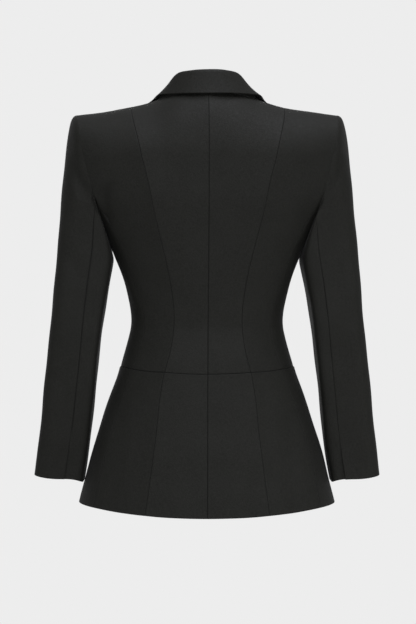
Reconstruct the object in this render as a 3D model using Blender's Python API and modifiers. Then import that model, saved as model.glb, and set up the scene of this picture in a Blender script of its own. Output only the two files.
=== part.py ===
"""Lace-up blazer: a fitted, strong-shouldered jacket with a flared peplum, standing in its worn form.

The cloth is a set of thin walls, one for each piece that a tailor cuts. All the body panels lie on one
outer face, worked out from a table of sections, and meet along seams given as distances from the centre.
The left half (+X) is built and mirrored. The front faces -Y. Sizes are in millimetres.
"""

import math

import bmesh
import bpy
import numpy as np
from mathutils import Matrix, Vector

MM = 0.001
COLLECTION_NAME = "lace_up_blazer"

# Cloth walls, and the gap that is left along every seam.
BODY_CLOTH = 1.8
SLEEVE_CLOTH = 1.6
LAPEL_CLOTH = 2.0
COLLAR_CLOTH = 2.2
SEAM_GAP = 0.4
SLEEVE_SEAM_GAP = 0.8
COLLAR_SEAM_GAP = 1.4

# Heights of the main lines, measured from the side neck points.
WAIST_SEAM_SIDE = -426.0
WAIST_SEAM_DIP = 10.0
WAIST_SEAM_POWER = 2.0
HEM_SIDE = -641.5
HEM_DIP = 12.5
HEM_POWER = 3.0
BACK_TURN_START = -98.0
FRONT_TURN_START = -90.0
BACK_SQUARENESS = 1.9
FRONT_SQUARENESS = 2.2
BACK_ROUNDNESS = 2.35
FRONT_ROUNDNESS = 2.3

# Neck opening, lapel and front closing, as distances from the centre and heights.
SIDE_NECK_X = 80.0
BACK_NECK_DROP = 40.0
FRONT_EDGE_X = 4.0
BREAK_HEIGHT = -256.0
GORGE_X = 60.0
GORGE_HEIGHT = -62.0
LAPEL_TIP_X = 130.0
LAPEL_TIP_HEIGHT = -80.0
LAPEL_FOOT_WIDTH = 6.0
LAPEL_BELLY = 9.0
LAPEL_LIFT = 4.4
LAPEL_ROLL = 7.0
LAPEL_SETBACK = 4.0
LAPEL_FOOT_SHARE = 0.03

# Lacing: eyelets in two columns beside the front edges, and one round lace.
EYELET_ROWS = 6
EYELET_STRIP_WIDTH = 22.0
EYELET_BORE = 2.6
EYELET_BARREL = 3.3
EYELET_FLANGE = 4.8
EYELET_FLANGE_THICKNESS = 0.8
EYELET_SEAT = 0.3
EYELET_STEPS = 12
EYELET_HOLE = 3.7
LACE_RADIUS = 1.5
LACE_OUTSIDE = 4.6
LACE_LEAVES = 2.4
LACE_INSIDE = -6.6
LACE_ENTERS = -4.4
LACE_CROSSING = 1.8
LACE_BEND = 4.2
LACE_POINTS_PER_STRETCH = 3
LACE_KNOT = 1.6

# How many facets each piece has.
ROWS_BELOW_ARMHOLE = 8
ROWS_BESIDE_ARMHOLE = 8
FRONT_NECK_ROWS = 3
PEPLUM_ROWS = 5
BACK_COLUMNS = 8
BACK_NECK_COLUMNS = 5
SIDE_BACK_COLUMNS = 5
FRONT_COLUMNS = 5
CAP_ROWS = 8
ARM_ROWS = 8
UNDERARM_COLUMNS = 4
COLLAR_STATIONS = 12
COLLAR_STAND_STEPS = 3
COLLAR_ROLL_STEPS = 4
COLLAR_FALL_STEPS = 5
LAPEL_ROWS = 10
LAPEL_COLUMNS = 6

SECTION_COLUMNS = ("height", "back_spread", "front_spread", "back_depth", "front_depth")
SECTIONS = (
    (-660, 207.0, 207.0, 161.0, 160.0),
    (-560, 181.8, 181.8, 140.0, 145.0),
    (-464, 151.4, 151.4, 116.4, 122.0),
    (-430, 139.2, 139.2, 107.4, 112.0),
    (-400, 129.6, 129.6, 98.4, 104.0),
    (-378, 124.2, 124.2, 91.6, 99.0),
    (-364, 121.5, 121.5, 88.0, 96.7),
    (-352, 120.6, 120.6, 87.8, 96.0),
    (-340, 121.1, 121.1, 88.6, 97.1),
    (-304, 128.2, 128.2, 91.6, 106.0),
    (-256, 145.0, 145.0, 94.8, 121.0),
    (-234, 153.7, 153.7, 96.3, 123.0),
    (-220, 161.5, 158.0, 97.2, 122.5),
    (-190, 179.5, 167.6, 98.5, 117.0),
    (-165, 201.4, 176.7, 100.0, 110.0),
    (-130, 223.2, 192.0, 99.0, 100.0),
    (-100, 239.0, 207.0, 97.0, 94.0),
    (-55, 265.0, 232.0, 95.0, 87.0),
    (0, 284.0, 246.0, 93.0, 84.0),
)

# The shoulder line, from the centre to the shoulder tip. It is virtual inside the neck opening.
SHOULDER_COLUMNS = ("across", "height")
SHOULDER = (
    (0, 38.0),
    (40, 25.0),
    (80, 0.0),
    (105, -8.0),
    (125, -12.8),
    (150, -17.4),
    (175, -20.8),
    (200, -23.9),
    (215, -26.0),
)

# Seams: distance from the centre line at each height, from the hem up to the shoulder or the armhole.
BACK_PRINCESS = (
    (-660, 94.5),
    (-540, 79.5),
    (-440, 67.0),
    (-403, 57.4),
    (-358, 52.0),
    (-296, 58.1),
    (-240, 70.0),
    (-184, 86.5),
    (-96, 105.5),
    (0, 123.4),
)
SIDE_BACK_SEAM = (
    (-660, 176.0),
    (-576, 159.4),
    (-482, 134.0),
    (-430, 117.0),
    (-355, 98.0),
    (-313, 107.2),
    (-281, 118.6),
    (-242, 133.0),
    (-201, 153.0),
    (-174, 173.4),
)
FRONT_PRINCESS = (
    (-660, 112.0),
    (-540, 92.0),
    (-430, 72.0),
    (-352, 60.0),
    (-304, 66.0),
    (-256, 80.0),
    (-215, 104.0),
    (-180, 141.0),
    (-150, 167.5),
)
BACK_ARMHOLE = (
    (-234, 153.7),
    (-220, 157.8),
    (-190, 167.4),
    (-165, 176.5),
    (-130, 186.3),
    (-80, 200.0),
    (-28, 207.0),
    (0, 209.0),
)
FRONT_ARMHOLE = (
    (-234, 153.7),
    (-220, 156.0),
    (-190, 160.4),
    (-165, 164.6),
    (-130, 172.0),
    (-80, 189.0),
    (-28, 205.0),
    (0, 209.0),
)
UNDERARM_HEIGHT = -234.0
SIDE_BACK_TOP = -174.0
FRONT_PRINCESS_TOP = -150.0
SHOULDER_TOP = 0.0

# Corners that the seams press into the cloth: how far they stand out, and how far they fade each way.
CORNER_COLUMNS = ("height", "princess", "side_back")
CORNERS = (
    (-660, 6.0, 4.5),
    (-540, 4.6, 3.2),
    (-430, 5.0, 1.6),
    (-372, 5.0, 1.4),
    (-320, 2.6, 1.6),
    (-256, 5.0, 1.6),
    (-190, 8.4, 0.8),
    (-140, 8.4, 0.4),
    (-80, 3.6, 0.0),
    (-40, 1.0, 0.0),
    (0, 0.0, 0.0),
)
CORNER_FADE_INWARDS = 42.0
CORNER_FADE_OUTWARDS = 27.0

# Arm of the sleeve below the cap: each ring's centre, half sizes and the rise of its outer side.
ARM_COLUMNS = ("height", "centre_x", "centre_y", "half_width", "half_depth", "outer_rise")
ARM = (
    (-606, 235.4, 10.0, 39.8, 42.0, 4.4),
    (-544, 227.6, 13.0, 41.0, 44.0, 4.6),
    (-448, 217.8, 14.0, 41.4, 47.0, 5.0),
    (-352, 207.4, 11.0, 42.0, 51.0, 6.0),
    (-256, 195.8, 4.0, 43.8, 55.0, 7.0),
)
INNER_FLATNESS = 4.2
OUTER_FLATNESS = 2.7
BICEP_HEIGHT = -256.0
CUFF_HEIGHT = -606.0
CAP_START_TOP = (1.0, 0.0, -0.06)
CAP_START_UNDER = (-0.12, 0.0, -1.0)
CAP_STANDS_OFF = 0.5
CAP_REACH_TOP = 17.0
CAP_REACH_UNDER = 14.0
CAP_FALL_TOP = 0.93
CAP_FALL_UNDER = 0.36
CUFF_HIND_TURN = 93.0
CUFF_FORE_TURN = 252.0
VENT_LENGTH = 80.0
VENT_LIFT = 1.2

# Collar, from the centre back round to the gorge: its roll line, then its outer edge.
COLLAR_COLUMNS = ("along", "roll_x", "roll_y", "roll_z", "edge_x", "edge_y", "edge_z", "roll_radius")
COLLAR = (
    (0.00, 0.0, 50.0, 41.7, 0.0, 66.0, 2.0, 3.8),
    (0.16, 26.0, 44.5, 40.8, 38.0, 58.5, 2.2, 3.8),
    (0.30, 46.5, 26.5, 37.5, 66.0, 40.0, 3.5, 3.8),
    (0.44, 57.5, 5.0, 26.0, 82.0, 20.0, 4.2, 3.6),
    (0.58, 62.0, -20.5, 16.0, 92.0, -8.0, -0.5, 3.4),
    (0.72, 62.0, -45.0, 5.0, 105.0, -43.5, -12.0, 3.1),
    (0.86, 60.5, -66.5, -11.5, 115.0, -74.0, -42.0, 2.8),
    (1.00, 57.0, -81.0, -34.0, 103.3, -83.0, -59.5, 2.6),
)
SIDE_NECK_ALONG = 0.48

BLACK_WOOL = (0.012, 0.012, 0.012)
BLACK_CORD = (0.010, 0.010, 0.010)
DARK_METAL = (0.045, 0.045, 0.048)


def read_table(columns, rows):
    """The table's columns as arrays, by name."""
    return dict(zip(columns, np.array(rows, float).T))


SECTION = read_table(SECTION_COLUMNS, SECTIONS)
SHOULDER_LINE = read_table(SHOULDER_COLUMNS, SHOULDER)
CORNER = read_table(CORNER_COLUMNS, CORNERS)
ARM_RING = read_table(ARM_COLUMNS, ARM)
COLLAR_STATION = read_table(COLLAR_COLUMNS, COLLAR)


def smooth(keys, values, at):
    """A smooth curve through the values, as cubic stretches that share their slopes."""
    keys, values, at = (np.asarray(item, float) for item in (keys, values, at))
    slopes = np.gradient(values, keys)
    low = np.clip(np.searchsorted(keys, at) - 1, 0, len(keys) - 2)
    span = keys[low + 1] - keys[low]
    share = np.clip((at - keys[low]) / span, 0.0, 1.0)
    rise = share * share * (3.0 - 2.0 * share)
    lead = share * (1.0 - share) ** 2 * span * slopes[low]
    trail = share * share * (share - 1.0) * span * slopes[low + 1]
    return values[low] * (1.0 - rise) + values[low + 1] * rise + lead + trail


def seam_x(seam, height):
    """A seam's distance from the centre at a height."""
    heights, distances = np.array(seam, float).T
    return smooth(heights, distances, height)


def signed_power(value, power):
    return np.sign(value) * np.abs(value) ** power


def is_back(angle):
    return angle <= math.pi / 2


def section_sizes(angle, height):
    """Spread, depth (back positive) and roundness of the section that an angle falls in."""
    back = is_back(angle)
    keys = SECTION["height"]
    spread = np.where(
        back,
        smooth(keys, SECTION["back_spread"], height),
        smooth(keys, SECTION["front_spread"], height),
    )
    depth = np.where(
        back,
        smooth(keys, SECTION["back_depth"], height),
        -smooth(keys, SECTION["front_depth"], height),
    )
    return spread, depth, np.where(back, BACK_ROUNDNESS, FRONT_ROUNDNESS)


def torso(angle, height):
    """Smooth outer face of the body. The angle runs from 0 at the centre back to pi at the centre front.

    Each section is a superellipse. Above the turn it leans over to the shoulder line, as a quarter of
    another superellipse, so the height is a nominal one there and ends at 0 on the shoulder line.
    """
    angle, height = np.broadcast_arrays(np.asarray(angle, float), np.asarray(height, float))
    spread, depth, roundness = section_sizes(angle, height)
    x = spread * signed_power(np.sin(angle), 2.0 / roundness)
    y = depth * np.abs(np.cos(angle)) ** (2.0 / roundness)
    start = np.where(is_back(angle), BACK_TURN_START, FRONT_TURN_START)
    turn = np.clip((height - start) / (SHOULDER_TOP - start), 0.0, 1.0) * math.pi / 2
    top = smooth(SHOULDER_LINE["across"], SHOULDER_LINE["height"], np.abs(x))
    lean = 2.0 / np.where(is_back(angle), BACK_SQUARENESS, FRONT_SQUARENESS)
    y = y * np.abs(np.cos(turn)) ** lean
    z = np.where(height > start, start + (top - start) * np.sin(turn) ** lean, height)
    return np.stack([x, y, z], axis=-1)


def torso_normal(angle, height):
    """Unit normals of the smooth face, pointing out of the garment."""
    step_angle, step_height = 1e-4, 0.05
    lower = np.minimum(height, SHOULDER_TOP - step_height) - step_height
    across = torso(angle + step_angle, height) - torso(angle - step_angle, height)
    up = torso(angle, np.minimum(height + step_height, SHOULDER_TOP)) - torso(angle, lower)
    normal = np.cross(across, up)
    return -normal / np.linalg.norm(normal, axis=-1, keepdims=True)


def corner_height(angle, height):
    """How far the pressed seams push the cloth outwards, fading exponentially from each seam."""
    x = torso(angle, height)[..., 0]
    raised = np.zeros_like(x)
    seams = (
        (BACK_PRINCESS, "princess", True),
        (SIDE_BACK_SEAM, "side_back", True),
        (FRONT_PRINCESS, "princess", False),
    )
    for seam, size, on_back in seams:
        beside = x - seam_x(seam, height)
        fade = np.exp(np.minimum(beside / CORNER_FADE_INWARDS, -beside / CORNER_FADE_OUTWARDS))
        push = smooth(CORNER["height"], CORNER[size], height) * fade
        raised = np.maximum(raised, np.where(is_back(angle) == on_back, push, 0.0))
    return raised


def body_face(angle, height, lift=0.0):
    """(points, normals) on the outer face of the body, moved out by lift."""
    normals = torso_normal(angle, height)
    offset = corner_height(angle, height) + lift
    return torso(angle, height) + normals * np.asarray(offset)[..., None], normals


def back_angle(x, height):
    """Angle of the point of the back at a distance from the centre."""
    spread = smooth(SECTION["height"], SECTION["back_spread"], height)
    return np.arcsin(np.clip(x / spread, 0.0, 1.0) ** (BACK_ROUNDNESS / 2))


def front_angle(x, height):
    """Angle of the point of the front at a distance from the centre."""
    spread = smooth(SECTION["height"], SECTION["front_spread"], height)
    return math.pi - np.arcsin(np.clip(x / spread, 0.0, 1.0) ** (FRONT_ROUNDNESS / 2))


def back_line(x, height):
    return np.stack([back_angle(x, height), height], axis=-1)


def front_line(x, height):
    return np.stack([front_angle(x, height), height], axis=-1)


def waist_level(angles):
    """Heights of the waist seam, which dips at the centre back."""
    return WAIST_SEAM_SIDE - WAIST_SEAM_DIP * np.maximum(np.cos(angles), 0.0) ** WAIST_SEAM_POWER


def hem_level(angles):
    """Heights of the hem, which dips at the centre back."""
    return HEM_SIDE - HEM_DIP * np.maximum(np.cos(angles), 0.0) ** HEM_POWER


def meets(level, seam, to_angle):
    """Height at which a seam meets a level cut: two passes are enough, since the cut is nearly flat."""
    height = float(level(math.pi / 2))
    for _ in range(2):
        height = float(level(to_angle(seam_x(seam, height), height)))
    return height


def run(start, end, steps):
    return np.linspace(start, end, steps + 1)


def joined(first, second):
    """Two stretches of one edge, sharing the point where they meet."""
    return np.concatenate([first, second[1:]])


def coons(left, right, bottom, top, shares=None):
    """Grid that fills four edges. Left and right run upwards, bottom and top run from left to right.

    The shares say how far across each column lies, if they are not even.
    """
    v = run(0.0, 1.0, len(left) - 1)[:, None, None]
    u = (run(0.0, 1.0, len(bottom) - 1) if shares is None else shares)[None, :, None]
    sides = (1 - u) * left[:, None] + u * right[:, None]
    ends = (1 - v) * bottom[None, :] + v * top[None, :]
    corners = (1 - v) * ((1 - u) * bottom[0] + u * bottom[-1]) + v * ((1 - u) * top[0] + u * top[-1])
    return sides + ends - corners


def drawn_in(points, distance):
    """The grid with its outline moved inwards along the cloth, to leave half a seam's gap."""
    points = points.copy()
    for axis in (0, 1):
        rows = np.moveaxis(points, axis, 0)
        for edge, inner in ((0, 1), (-1, -2)):
            way = rows[inner] - rows[edge]
            rows[edge] += way / np.linalg.norm(way, axis=-1, keepdims=True) * distance
    return points


def material(name, colour, roughness, metallic=0.0):
    made = bpy.data.materials.new(name)
    made.use_nodes = True
    shader = made.node_tree.nodes["Principled BSDF"]
    shader.inputs["Base Color"].default_value = (*colour, 1.0)
    shader.inputs["Roughness"].default_value = roughness
    shader.inputs["Metallic"].default_value = metallic
    return made


def place(obj, collection, finish):
    """Puts an object in the collection with its material."""
    obj.data.materials.clear()
    obj.data.materials.append(finish)
    collection.objects.link(obj)
    return obj


def cloth_wall(name, outer, normals, thickness, collection, finish):
    """A panel: a flat grid, extruded once, whose two layers are then laid on the outer and inner faces."""
    rows, columns = outer.shape[0] - 1, outer.shape[1] - 1
    faces = np.stack([outer, outer - normals * thickness]) * MM
    work = bmesh.new()
    bmesh.ops.create_grid(work, x_segments=columns, y_segments=rows, size=0.5)
    first_layer = set(work.verts)
    bmesh.ops.extrude_face_region(work, geom=work.faces[:], use_keep_orig=True)
    for vert in work.verts:
        column = round((vert.co.x + 0.5) * columns)
        row = round((vert.co.y + 0.5) * rows)
        vert.co = Vector(faces[0 if vert in first_layer else 1, row, column])
    bmesh.ops.recalc_face_normals(work, faces=work.faces[:])
    mesh = bpy.data.meshes.new(name)
    work.to_mesh(mesh)
    work.free()
    mesh.shade_smooth()
    mesh.set_sharp_from_angle(angle=math.radians(40))
    return place(bpy.data.objects.new(name, mesh), collection, finish)


def mirrored(points):
    return points * np.array([-1.0, 1.0, 1.0])


def cloth_pair(name, outer, normals, thickness, collection, finish):
    """The left panel, and its mirror image for the right side."""
    left = cloth_wall(f"{name}_left", outer, normals, thickness, collection, finish)
    right = cloth_wall(
        f"{name}_right", mirrored(outer), mirrored(normals), thickness, collection, finish
    )
    return left, right


def body_panel(name, grid, collection, finish):
    """A pair of body panels on a grid of angles and heights. Returns them and the left panel's points."""
    points, normals = body_face(grid[..., 0], grid[..., 1])
    points = drawn_in(points, SEAM_GAP / 2)
    return *cloth_pair(name, points, normals, BODY_CLOTH, collection, finish), points


def armhole_turn(height):
    """Turn round the armhole, from 0 at the shoulder tip to pi under the arm, at a nominal height."""
    return math.acos(1.0 - 2.0 * height / UNDERARM_HEIGHT)


def armhole_height(turn):
    return UNDERARM_HEIGHT * (1.0 - np.cos(turn)) / 2


def beside_armhole(lowest):
    """Heights of the rows beside the armhole, at even turns round it."""
    return armhole_height(run(armhole_turn(lowest), 0.0, ROWS_BESIDE_ARMHOLE))


def seam_heights(foot, top):
    """Heights of the back panels' rows along one edge: below the armhole, then beside it."""
    below = run(foot, SIDE_BACK_TOP, ROWS_BELOW_ARMHOLE)
    share = beside_armhole(SIDE_BACK_TOP) / SIDE_BACK_TOP
    return joined(below, top + (SIDE_BACK_TOP - top) * share)


def waist_edge(angles):
    return np.stack([angles, waist_level(angles)], axis=-1)


def hem_edge(angles):
    return np.stack([angles, hem_level(angles)], axis=-1)


def back_panel_edges():
    """Centre back panel: the centre back seam, the princess seam, the waist seam, the neck and shoulder."""
    centre = seam_heights(WAIST_SEAM_SIDE - WAIST_SEAM_DIP, -BACK_NECK_DROP)
    princess = seam_heights(meets(waist_level, BACK_PRINCESS, back_angle), SHOULDER_TOP)
    neck_share = run(0.0, math.pi / 2, BACK_NECK_COLUMNS)
    neck = back_line(SIDE_NECK_X * np.sin(neck_share), -BACK_NECK_DROP * np.cos(neck_share))
    shoulder_x = run(SIDE_NECK_X, seam_x(BACK_PRINCESS, SHOULDER_TOP), BACK_COLUMNS - BACK_NECK_COLUMNS)
    shoulder = back_line(shoulder_x, np.full_like(shoulder_x, SHOULDER_TOP))
    left = back_line(np.zeros_like(centre), centre)
    right = back_line(seam_x(BACK_PRINCESS, princess), princess)
    bottom = waist_edge(run(left[0, 0], right[0, 0], BACK_COLUMNS))
    return left, right, bottom, joined(neck, shoulder)


def side_back_edges():
    """Side back panel: the princess seam, side back seam and armhole, waist seam and shoulder."""
    princess = seam_heights(meets(waist_level, BACK_PRINCESS, back_angle), SHOULDER_TOP)
    left = back_line(seam_x(BACK_PRINCESS, princess), princess)
    right = joined(side_back_line(), back_armhole_line())
    bottom = waist_edge(run(left[0, 0], right[0, 0], SIDE_BACK_COLUMNS))
    inner, outer = seam_x(BACK_PRINCESS, SHOULDER_TOP), seam_x(BACK_ARMHOLE, SHOULDER_TOP)
    shoulder_x = run(inner, outer, SIDE_BACK_COLUMNS)
    return left, right, bottom, back_line(shoulder_x, np.full_like(shoulder_x, SHOULDER_TOP))


def side_back_line():
    """The side back seam, from the waist seam up to the armhole."""
    foot = meets(waist_level, SIDE_BACK_SEAM, back_angle)
    heights = run(foot, SIDE_BACK_TOP, ROWS_BELOW_ARMHOLE)
    return back_line(seam_x(SIDE_BACK_SEAM, heights), heights)


def back_armhole_line():
    heights = beside_armhole(SIDE_BACK_TOP)
    return back_line(seam_x(BACK_ARMHOLE, heights), heights)


def front_princess_line():
    """The front princess seam, from the waist seam up to the armhole."""
    heights = run(WAIST_SEAM_SIDE, FRONT_PRINCESS_TOP, ROWS_BELOW_ARMHOLE)
    return front_line(seam_x(FRONT_PRINCESS, heights), heights)


def front_armhole_line():
    heights = beside_armhole(FRONT_PRINCESS_TOP)
    return front_line(seam_x(FRONT_ARMHOLE, heights), heights)


def underarm_line():
    """The foot of the armhole, from the side back seam under the arm to the front princess seam."""
    back = armhole_height(run(armhole_turn(SIDE_BACK_TOP), math.pi, UNDERARM_COLUMNS))
    front = armhole_height(run(math.pi, armhole_turn(FRONT_PRINCESS_TOP), UNDERARM_COLUMNS))
    return joined(
        back_line(seam_x(BACK_ARMHOLE, back), back),
        front_line(seam_x(FRONT_ARMHOLE, front), front),
    )


def side_front_edges():
    """Side front panel, which wraps round under the arm."""
    left, right = side_back_line(), front_princess_line()
    bottom = waist_edge(run(left[0, 0], right[0, 0], 2 * UNDERARM_COLUMNS))
    return left, right, bottom, underarm_line()


def roll_line(share):
    """The front edge above the closing, where the lapel turns back: straight, as distance and height."""
    x = FRONT_EDGE_X + (GORGE_X - FRONT_EDGE_X) * share
    return x, BREAK_HEIGHT + (GORGE_HEIGHT - BREAK_HEIGHT) * share


def front_shares():
    """How far across the front panel each column lies. The last column is the eyelets' strip."""
    waist_width = seam_x(FRONT_PRINCESS, WAIST_SEAM_SIDE) - FRONT_EDGE_X
    return np.append(run(0.0, 1.0 - EYELET_STRIP_WIDTH / waist_width, FRONT_COLUMNS), 1.0)


def front_grid():
    """Front panel: the princess seam and armhole, the front edge, roll line and neck, and the shoulder.

    The front edge has one row for each eyelet, level across the strip that holds them, so their seats are
    flat. Beside the lapel's roll the edge is set back, to leave it room.
    """
    left = joined(front_princess_line(), front_armhole_line())
    rolled_rows = ROWS_BELOW_ARMHOLE + ROWS_BESIDE_ARMHOLE - EYELET_ROWS - FRONT_NECK_ROWS
    closed = run(WAIST_SEAM_SIDE, BREAK_HEIGHT, EYELET_ROWS)
    share = np.append(0.0, run(LAPEL_FOOT_SHARE, 1.0, rolled_rows - 1))
    roll_x, roll_height = roll_line(share)
    edge = joined(
        front_line(np.full_like(closed, FRONT_EDGE_X), closed),
        front_line(roll_x + np.where(share > 0.0, LAPEL_SETBACK, 0.0), roll_height),
    )
    neck_x = run(GORGE_X + LAPEL_SETBACK, SIDE_NECK_X, FRONT_NECK_ROWS)
    right = joined(edge, front_line(neck_x, run(GORGE_HEIGHT, SHOULDER_TOP, FRONT_NECK_ROWS)))
    shares = front_shares()
    bottom = waist_edge(left[0, 0] + (right[0, 0] - left[0, 0]) * shares)
    shoulder_x = seam_x(FRONT_ARMHOLE, SHOULDER_TOP) * (1 - shares) + SIDE_NECK_X * shares
    top = front_line(shoulder_x, np.full_like(shoulder_x, SHOULDER_TOP))
    grid = coons(left, right, bottom, top, shares)
    strip = np.full_like(closed, FRONT_EDGE_X + EYELET_STRIP_WIDTH)
    grid[: EYELET_ROWS + 1, -2] = front_line(strip, closed)
    return grid


def peplum_seams():
    """The peplum's seams from the centre back to the front edge, each from the hem up to the waist seam."""
    found = []
    for seam, to_angle in (
        (((-660, 0.0), (0, 0.0)), back_angle),
        (BACK_PRINCESS, back_angle),
        (SIDE_BACK_SEAM, back_angle),
        (FRONT_PRINCESS, front_angle),
        (((-660, FRONT_EDGE_X), (0, FRONT_EDGE_X)), front_angle),
    ):
        heights = run(meets(hem_level, seam, to_angle), meets(waist_level, seam, to_angle), PEPLUM_ROWS)
        found.append(np.stack([to_angle(seam_x(seam, heights), heights), heights], axis=-1))
    return found


def build_body(collection, finish):
    """The bodice above the waist seam and the peplum below. Returns the fronts and the left points."""
    body_panel("back", coons(*back_panel_edges()), collection, finish)
    body_panel("side_back", coons(*side_back_edges()), collection, finish)
    body_panel("side_front", coons(*side_front_edges()), collection, finish)
    fronts = body_panel("front", front_grid(), collection, finish)
    seams = peplum_seams()
    names = ("peplum_back", "peplum_side_back", "peplum_side_front", "peplum_front")
    columns = (BACK_COLUMNS, SIDE_BACK_COLUMNS, 2 * UNDERARM_COLUMNS, FRONT_COLUMNS)
    for name, left, right, count in zip(names, seams, seams[1:], columns):
        bottom = hem_edge(run(left[0, 0], right[0, 0], count))
        top = waist_edge(run(left[-1, 0], right[-1, 0], count))
        body_panel(name, coons(left, right, bottom, top), collection, finish)
    return fronts


def armhole(turn):
    """(points, normals) round the armhole. The turn runs from 0 at the shoulder tip towards the back."""
    height = armhole_height(turn)
    at_back = np.sin(turn) >= 0.0
    angle = np.where(
        at_back,
        back_angle(seam_x(BACK_ARMHOLE, height), height),
        front_angle(seam_x(FRONT_ARMHOLE, height), height),
    )
    return body_face(angle, height)


def arm_ring(turn, height):
    """Points of the arm of the sleeve, pressed flatter on the side that faces the body.

    The turn runs from 0 at the outer side to the back.
    """
    size = {name: smooth(ARM_RING["height"], ARM_RING[name], height) for name in ARM_COLUMNS[1:]}
    power = 2.0 / np.where(np.cos(turn) < 0.0, INNER_FLATNESS, OUTER_FLATNESS)
    return np.stack(
        [
            size["centre_x"] + size["half_width"] * signed_power(np.cos(turn), power),
            size["centre_y"] + size["half_depth"] * signed_power(np.sin(turn), power),
            height + size["outer_rise"] * np.cos(turn),
        ],
        axis=-1,
    )


def unit(vectors):
    return vectors / np.linalg.norm(vectors, axis=-1, keepdims=True)


def cap_curve(turn, share):
    """The sleeve's cap: one cubic for each turn, from the armhole out and down to the arm's top ring."""
    top = (0.5 + 0.5 * np.cos(turn))[..., None]
    leave = unit(top * np.array(CAP_START_TOP) + (1.0 - top) * np.array(CAP_START_UNDER))
    edge, outwards = armhole(turn)
    start = edge + outwards * CAP_STANDS_OFF + leave * SEAM_GAP
    end = arm_ring(turn, BICEP_HEIGHT)
    fall = unit(arm_ring(turn, BICEP_HEIGHT) - arm_ring(turn, BICEP_HEIGHT - 1.0))
    length = np.linalg.norm(end - start, axis=-1, keepdims=True)
    reach = CAP_REACH_UNDER + (CAP_REACH_TOP - CAP_REACH_UNDER) * top
    drop = length * (CAP_FALL_UNDER + (CAP_FALL_TOP - CAP_FALL_UNDER) * top**2)
    share = share[..., None]
    return (
        (1 - share) ** 3 * start
        + 3 * (1 - share) ** 2 * share * (start + leave * reach)
        + 3 * (1 - share) * share**2 * (end + fall * drop)
        + share**3 * end
    )


def sleeve_face(turn, along):
    """The sleeve's outer face. Along runs from 0 at the armhole to 1 at the arm's top and 2 at the cuff."""
    turn, along = np.broadcast_arrays(turn, along)
    cap = cap_curve(turn, np.clip(along, 0.0, 1.0))
    height = BICEP_HEIGHT + (CUFF_HEIGHT - BICEP_HEIGHT) * np.clip(along - 1.0, 0.0, 1.0)
    return np.where((along < 1.0)[..., None], cap, arm_ring(turn, height))


def sleeve_normal(turn, along):
    """Unit normals of the sleeve, pointing out of the garment."""
    step = 1e-3
    round_it = sleeve_face(turn + step, along) - sleeve_face(turn - step, along)
    above, below = np.maximum(along - step, 0.0), np.minimum(along + step, 2.0)
    down = sleeve_face(turn, below) - sleeve_face(turn, above)
    return -unit(np.cross(round_it, down))


def sleeve_panel(name, at_armhole, at_cuff, vent_side, collection, finish):
    """A pair of sleeve pieces. Each column runs from its turn at the armhole to its turn at the cuff."""
    along = joined(run(0.0, 1.0, CAP_ROWS) ** 1.6, run(1.0, 2.0, ARM_ROWS))[:, None]
    turn = at_armhole + (at_cuff - at_armhole) * along / 2
    along = np.broadcast_to(along, turn.shape)
    points, normals = sleeve_face(turn, along), sleeve_normal(turn, along)
    if vent_side is not None:
        above_cuff = points[:, vent_side, 2] - CUFF_HEIGHT
        open_share = np.clip(1.0 - above_cuff / VENT_LENGTH, 0.0, 1.0)[:, None]
        points[:, vent_side] += normals[:, vent_side] * VENT_LIFT * open_share
    points = drawn_in(points, SLEEVE_SEAM_GAP / 2)
    cloth_pair(name, points, normals, SLEEVE_CLOTH, collection, finish)


def build_sleeves(collection, finish):
    """Two-piece sleeves: the top piece wraps round the outer side, the under piece faces the body.

    Their seams start where the body's seams meet the armhole, and the columns between meet its rows.
    """
    hind, fore = armhole_turn(SIDE_BACK_TOP), armhole_turn(FRONT_PRINCESS_TOP)
    full = 2 * math.pi
    cuff_hind, cuff_fore = math.radians(CUFF_HIND_TURN), math.radians(CUFF_FORE_TURN)
    rows, columns = ROWS_BESIDE_ARMHOLE, UNDERARM_COLUMNS
    over = joined(run(-fore, 0.0, rows), run(0.0, hind, rows))
    over_cuff = joined(run(cuff_fore - full, 0.0, rows), run(0.0, cuff_hind, rows))
    under = joined(run(hind, math.pi, columns), run(math.pi, full - fore, columns))
    under_cuff = joined(run(cuff_hind, math.pi, columns), run(math.pi, cuff_fore, columns))
    sleeve_panel("top_sleeve", over, over_cuff, -1, collection, finish)
    sleeve_panel("under_sleeve", under, under_cuff, None, collection, finish)


def neck_seam(along):
    """The collar's seam on the neck: round the back neck, then down the front neck to the gorge."""
    round_back = np.clip(along / SIDE_NECK_ALONG, 0.0, 1.0) * math.pi / 2
    x, height = SIDE_NECK_X * np.sin(round_back), -BACK_NECK_DROP * np.cos(round_back)
    back = body_face(back_angle(x, height), height)[0]
    down = np.clip((along - SIDE_NECK_ALONG) / (1.0 - SIDE_NECK_ALONG), 0.0, 1.0)
    x, height = SIDE_NECK_X + (GORGE_X - SIDE_NECK_X) * down, GORGE_HEIGHT * down
    front = body_face(front_angle(x, height), height)[0]
    return np.where((along < SIDE_NECK_ALONG)[..., None], back, front)


def collar_column(name, along):
    """A column of the collar's table, carried on past the centre back so that it has no kink there."""
    keys, values = COLLAR_STATION["along"], COLLAR_STATION[name]
    beyond = -values[:0:-1] if name.endswith("_x") else values[:0:-1]
    return smooth(np.append(-keys[:0:-1], keys), np.append(beyond, values), along)


def collar_points(name, along):
    """The collar's roll or edge line, read from its table."""
    return np.stack([collar_column(f"{name}_{axis}", along) for axis in "xyz"], axis=-1)


def leg(start, start_way, end, end_way, share):
    """A cubic from start to end that leaves and arrives along the two ways, scaled to its length."""
    length = np.linalg.norm(end - start, axis=-1, keepdims=True)
    rise = share * share * (3.0 - 2.0 * share)
    lead = share * (1.0 - share) ** 2 * length * start_way
    trail = share * share * (share - 1.0) * length * end_way
    return start * (1.0 - rise) + end * rise + lead + trail


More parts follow.
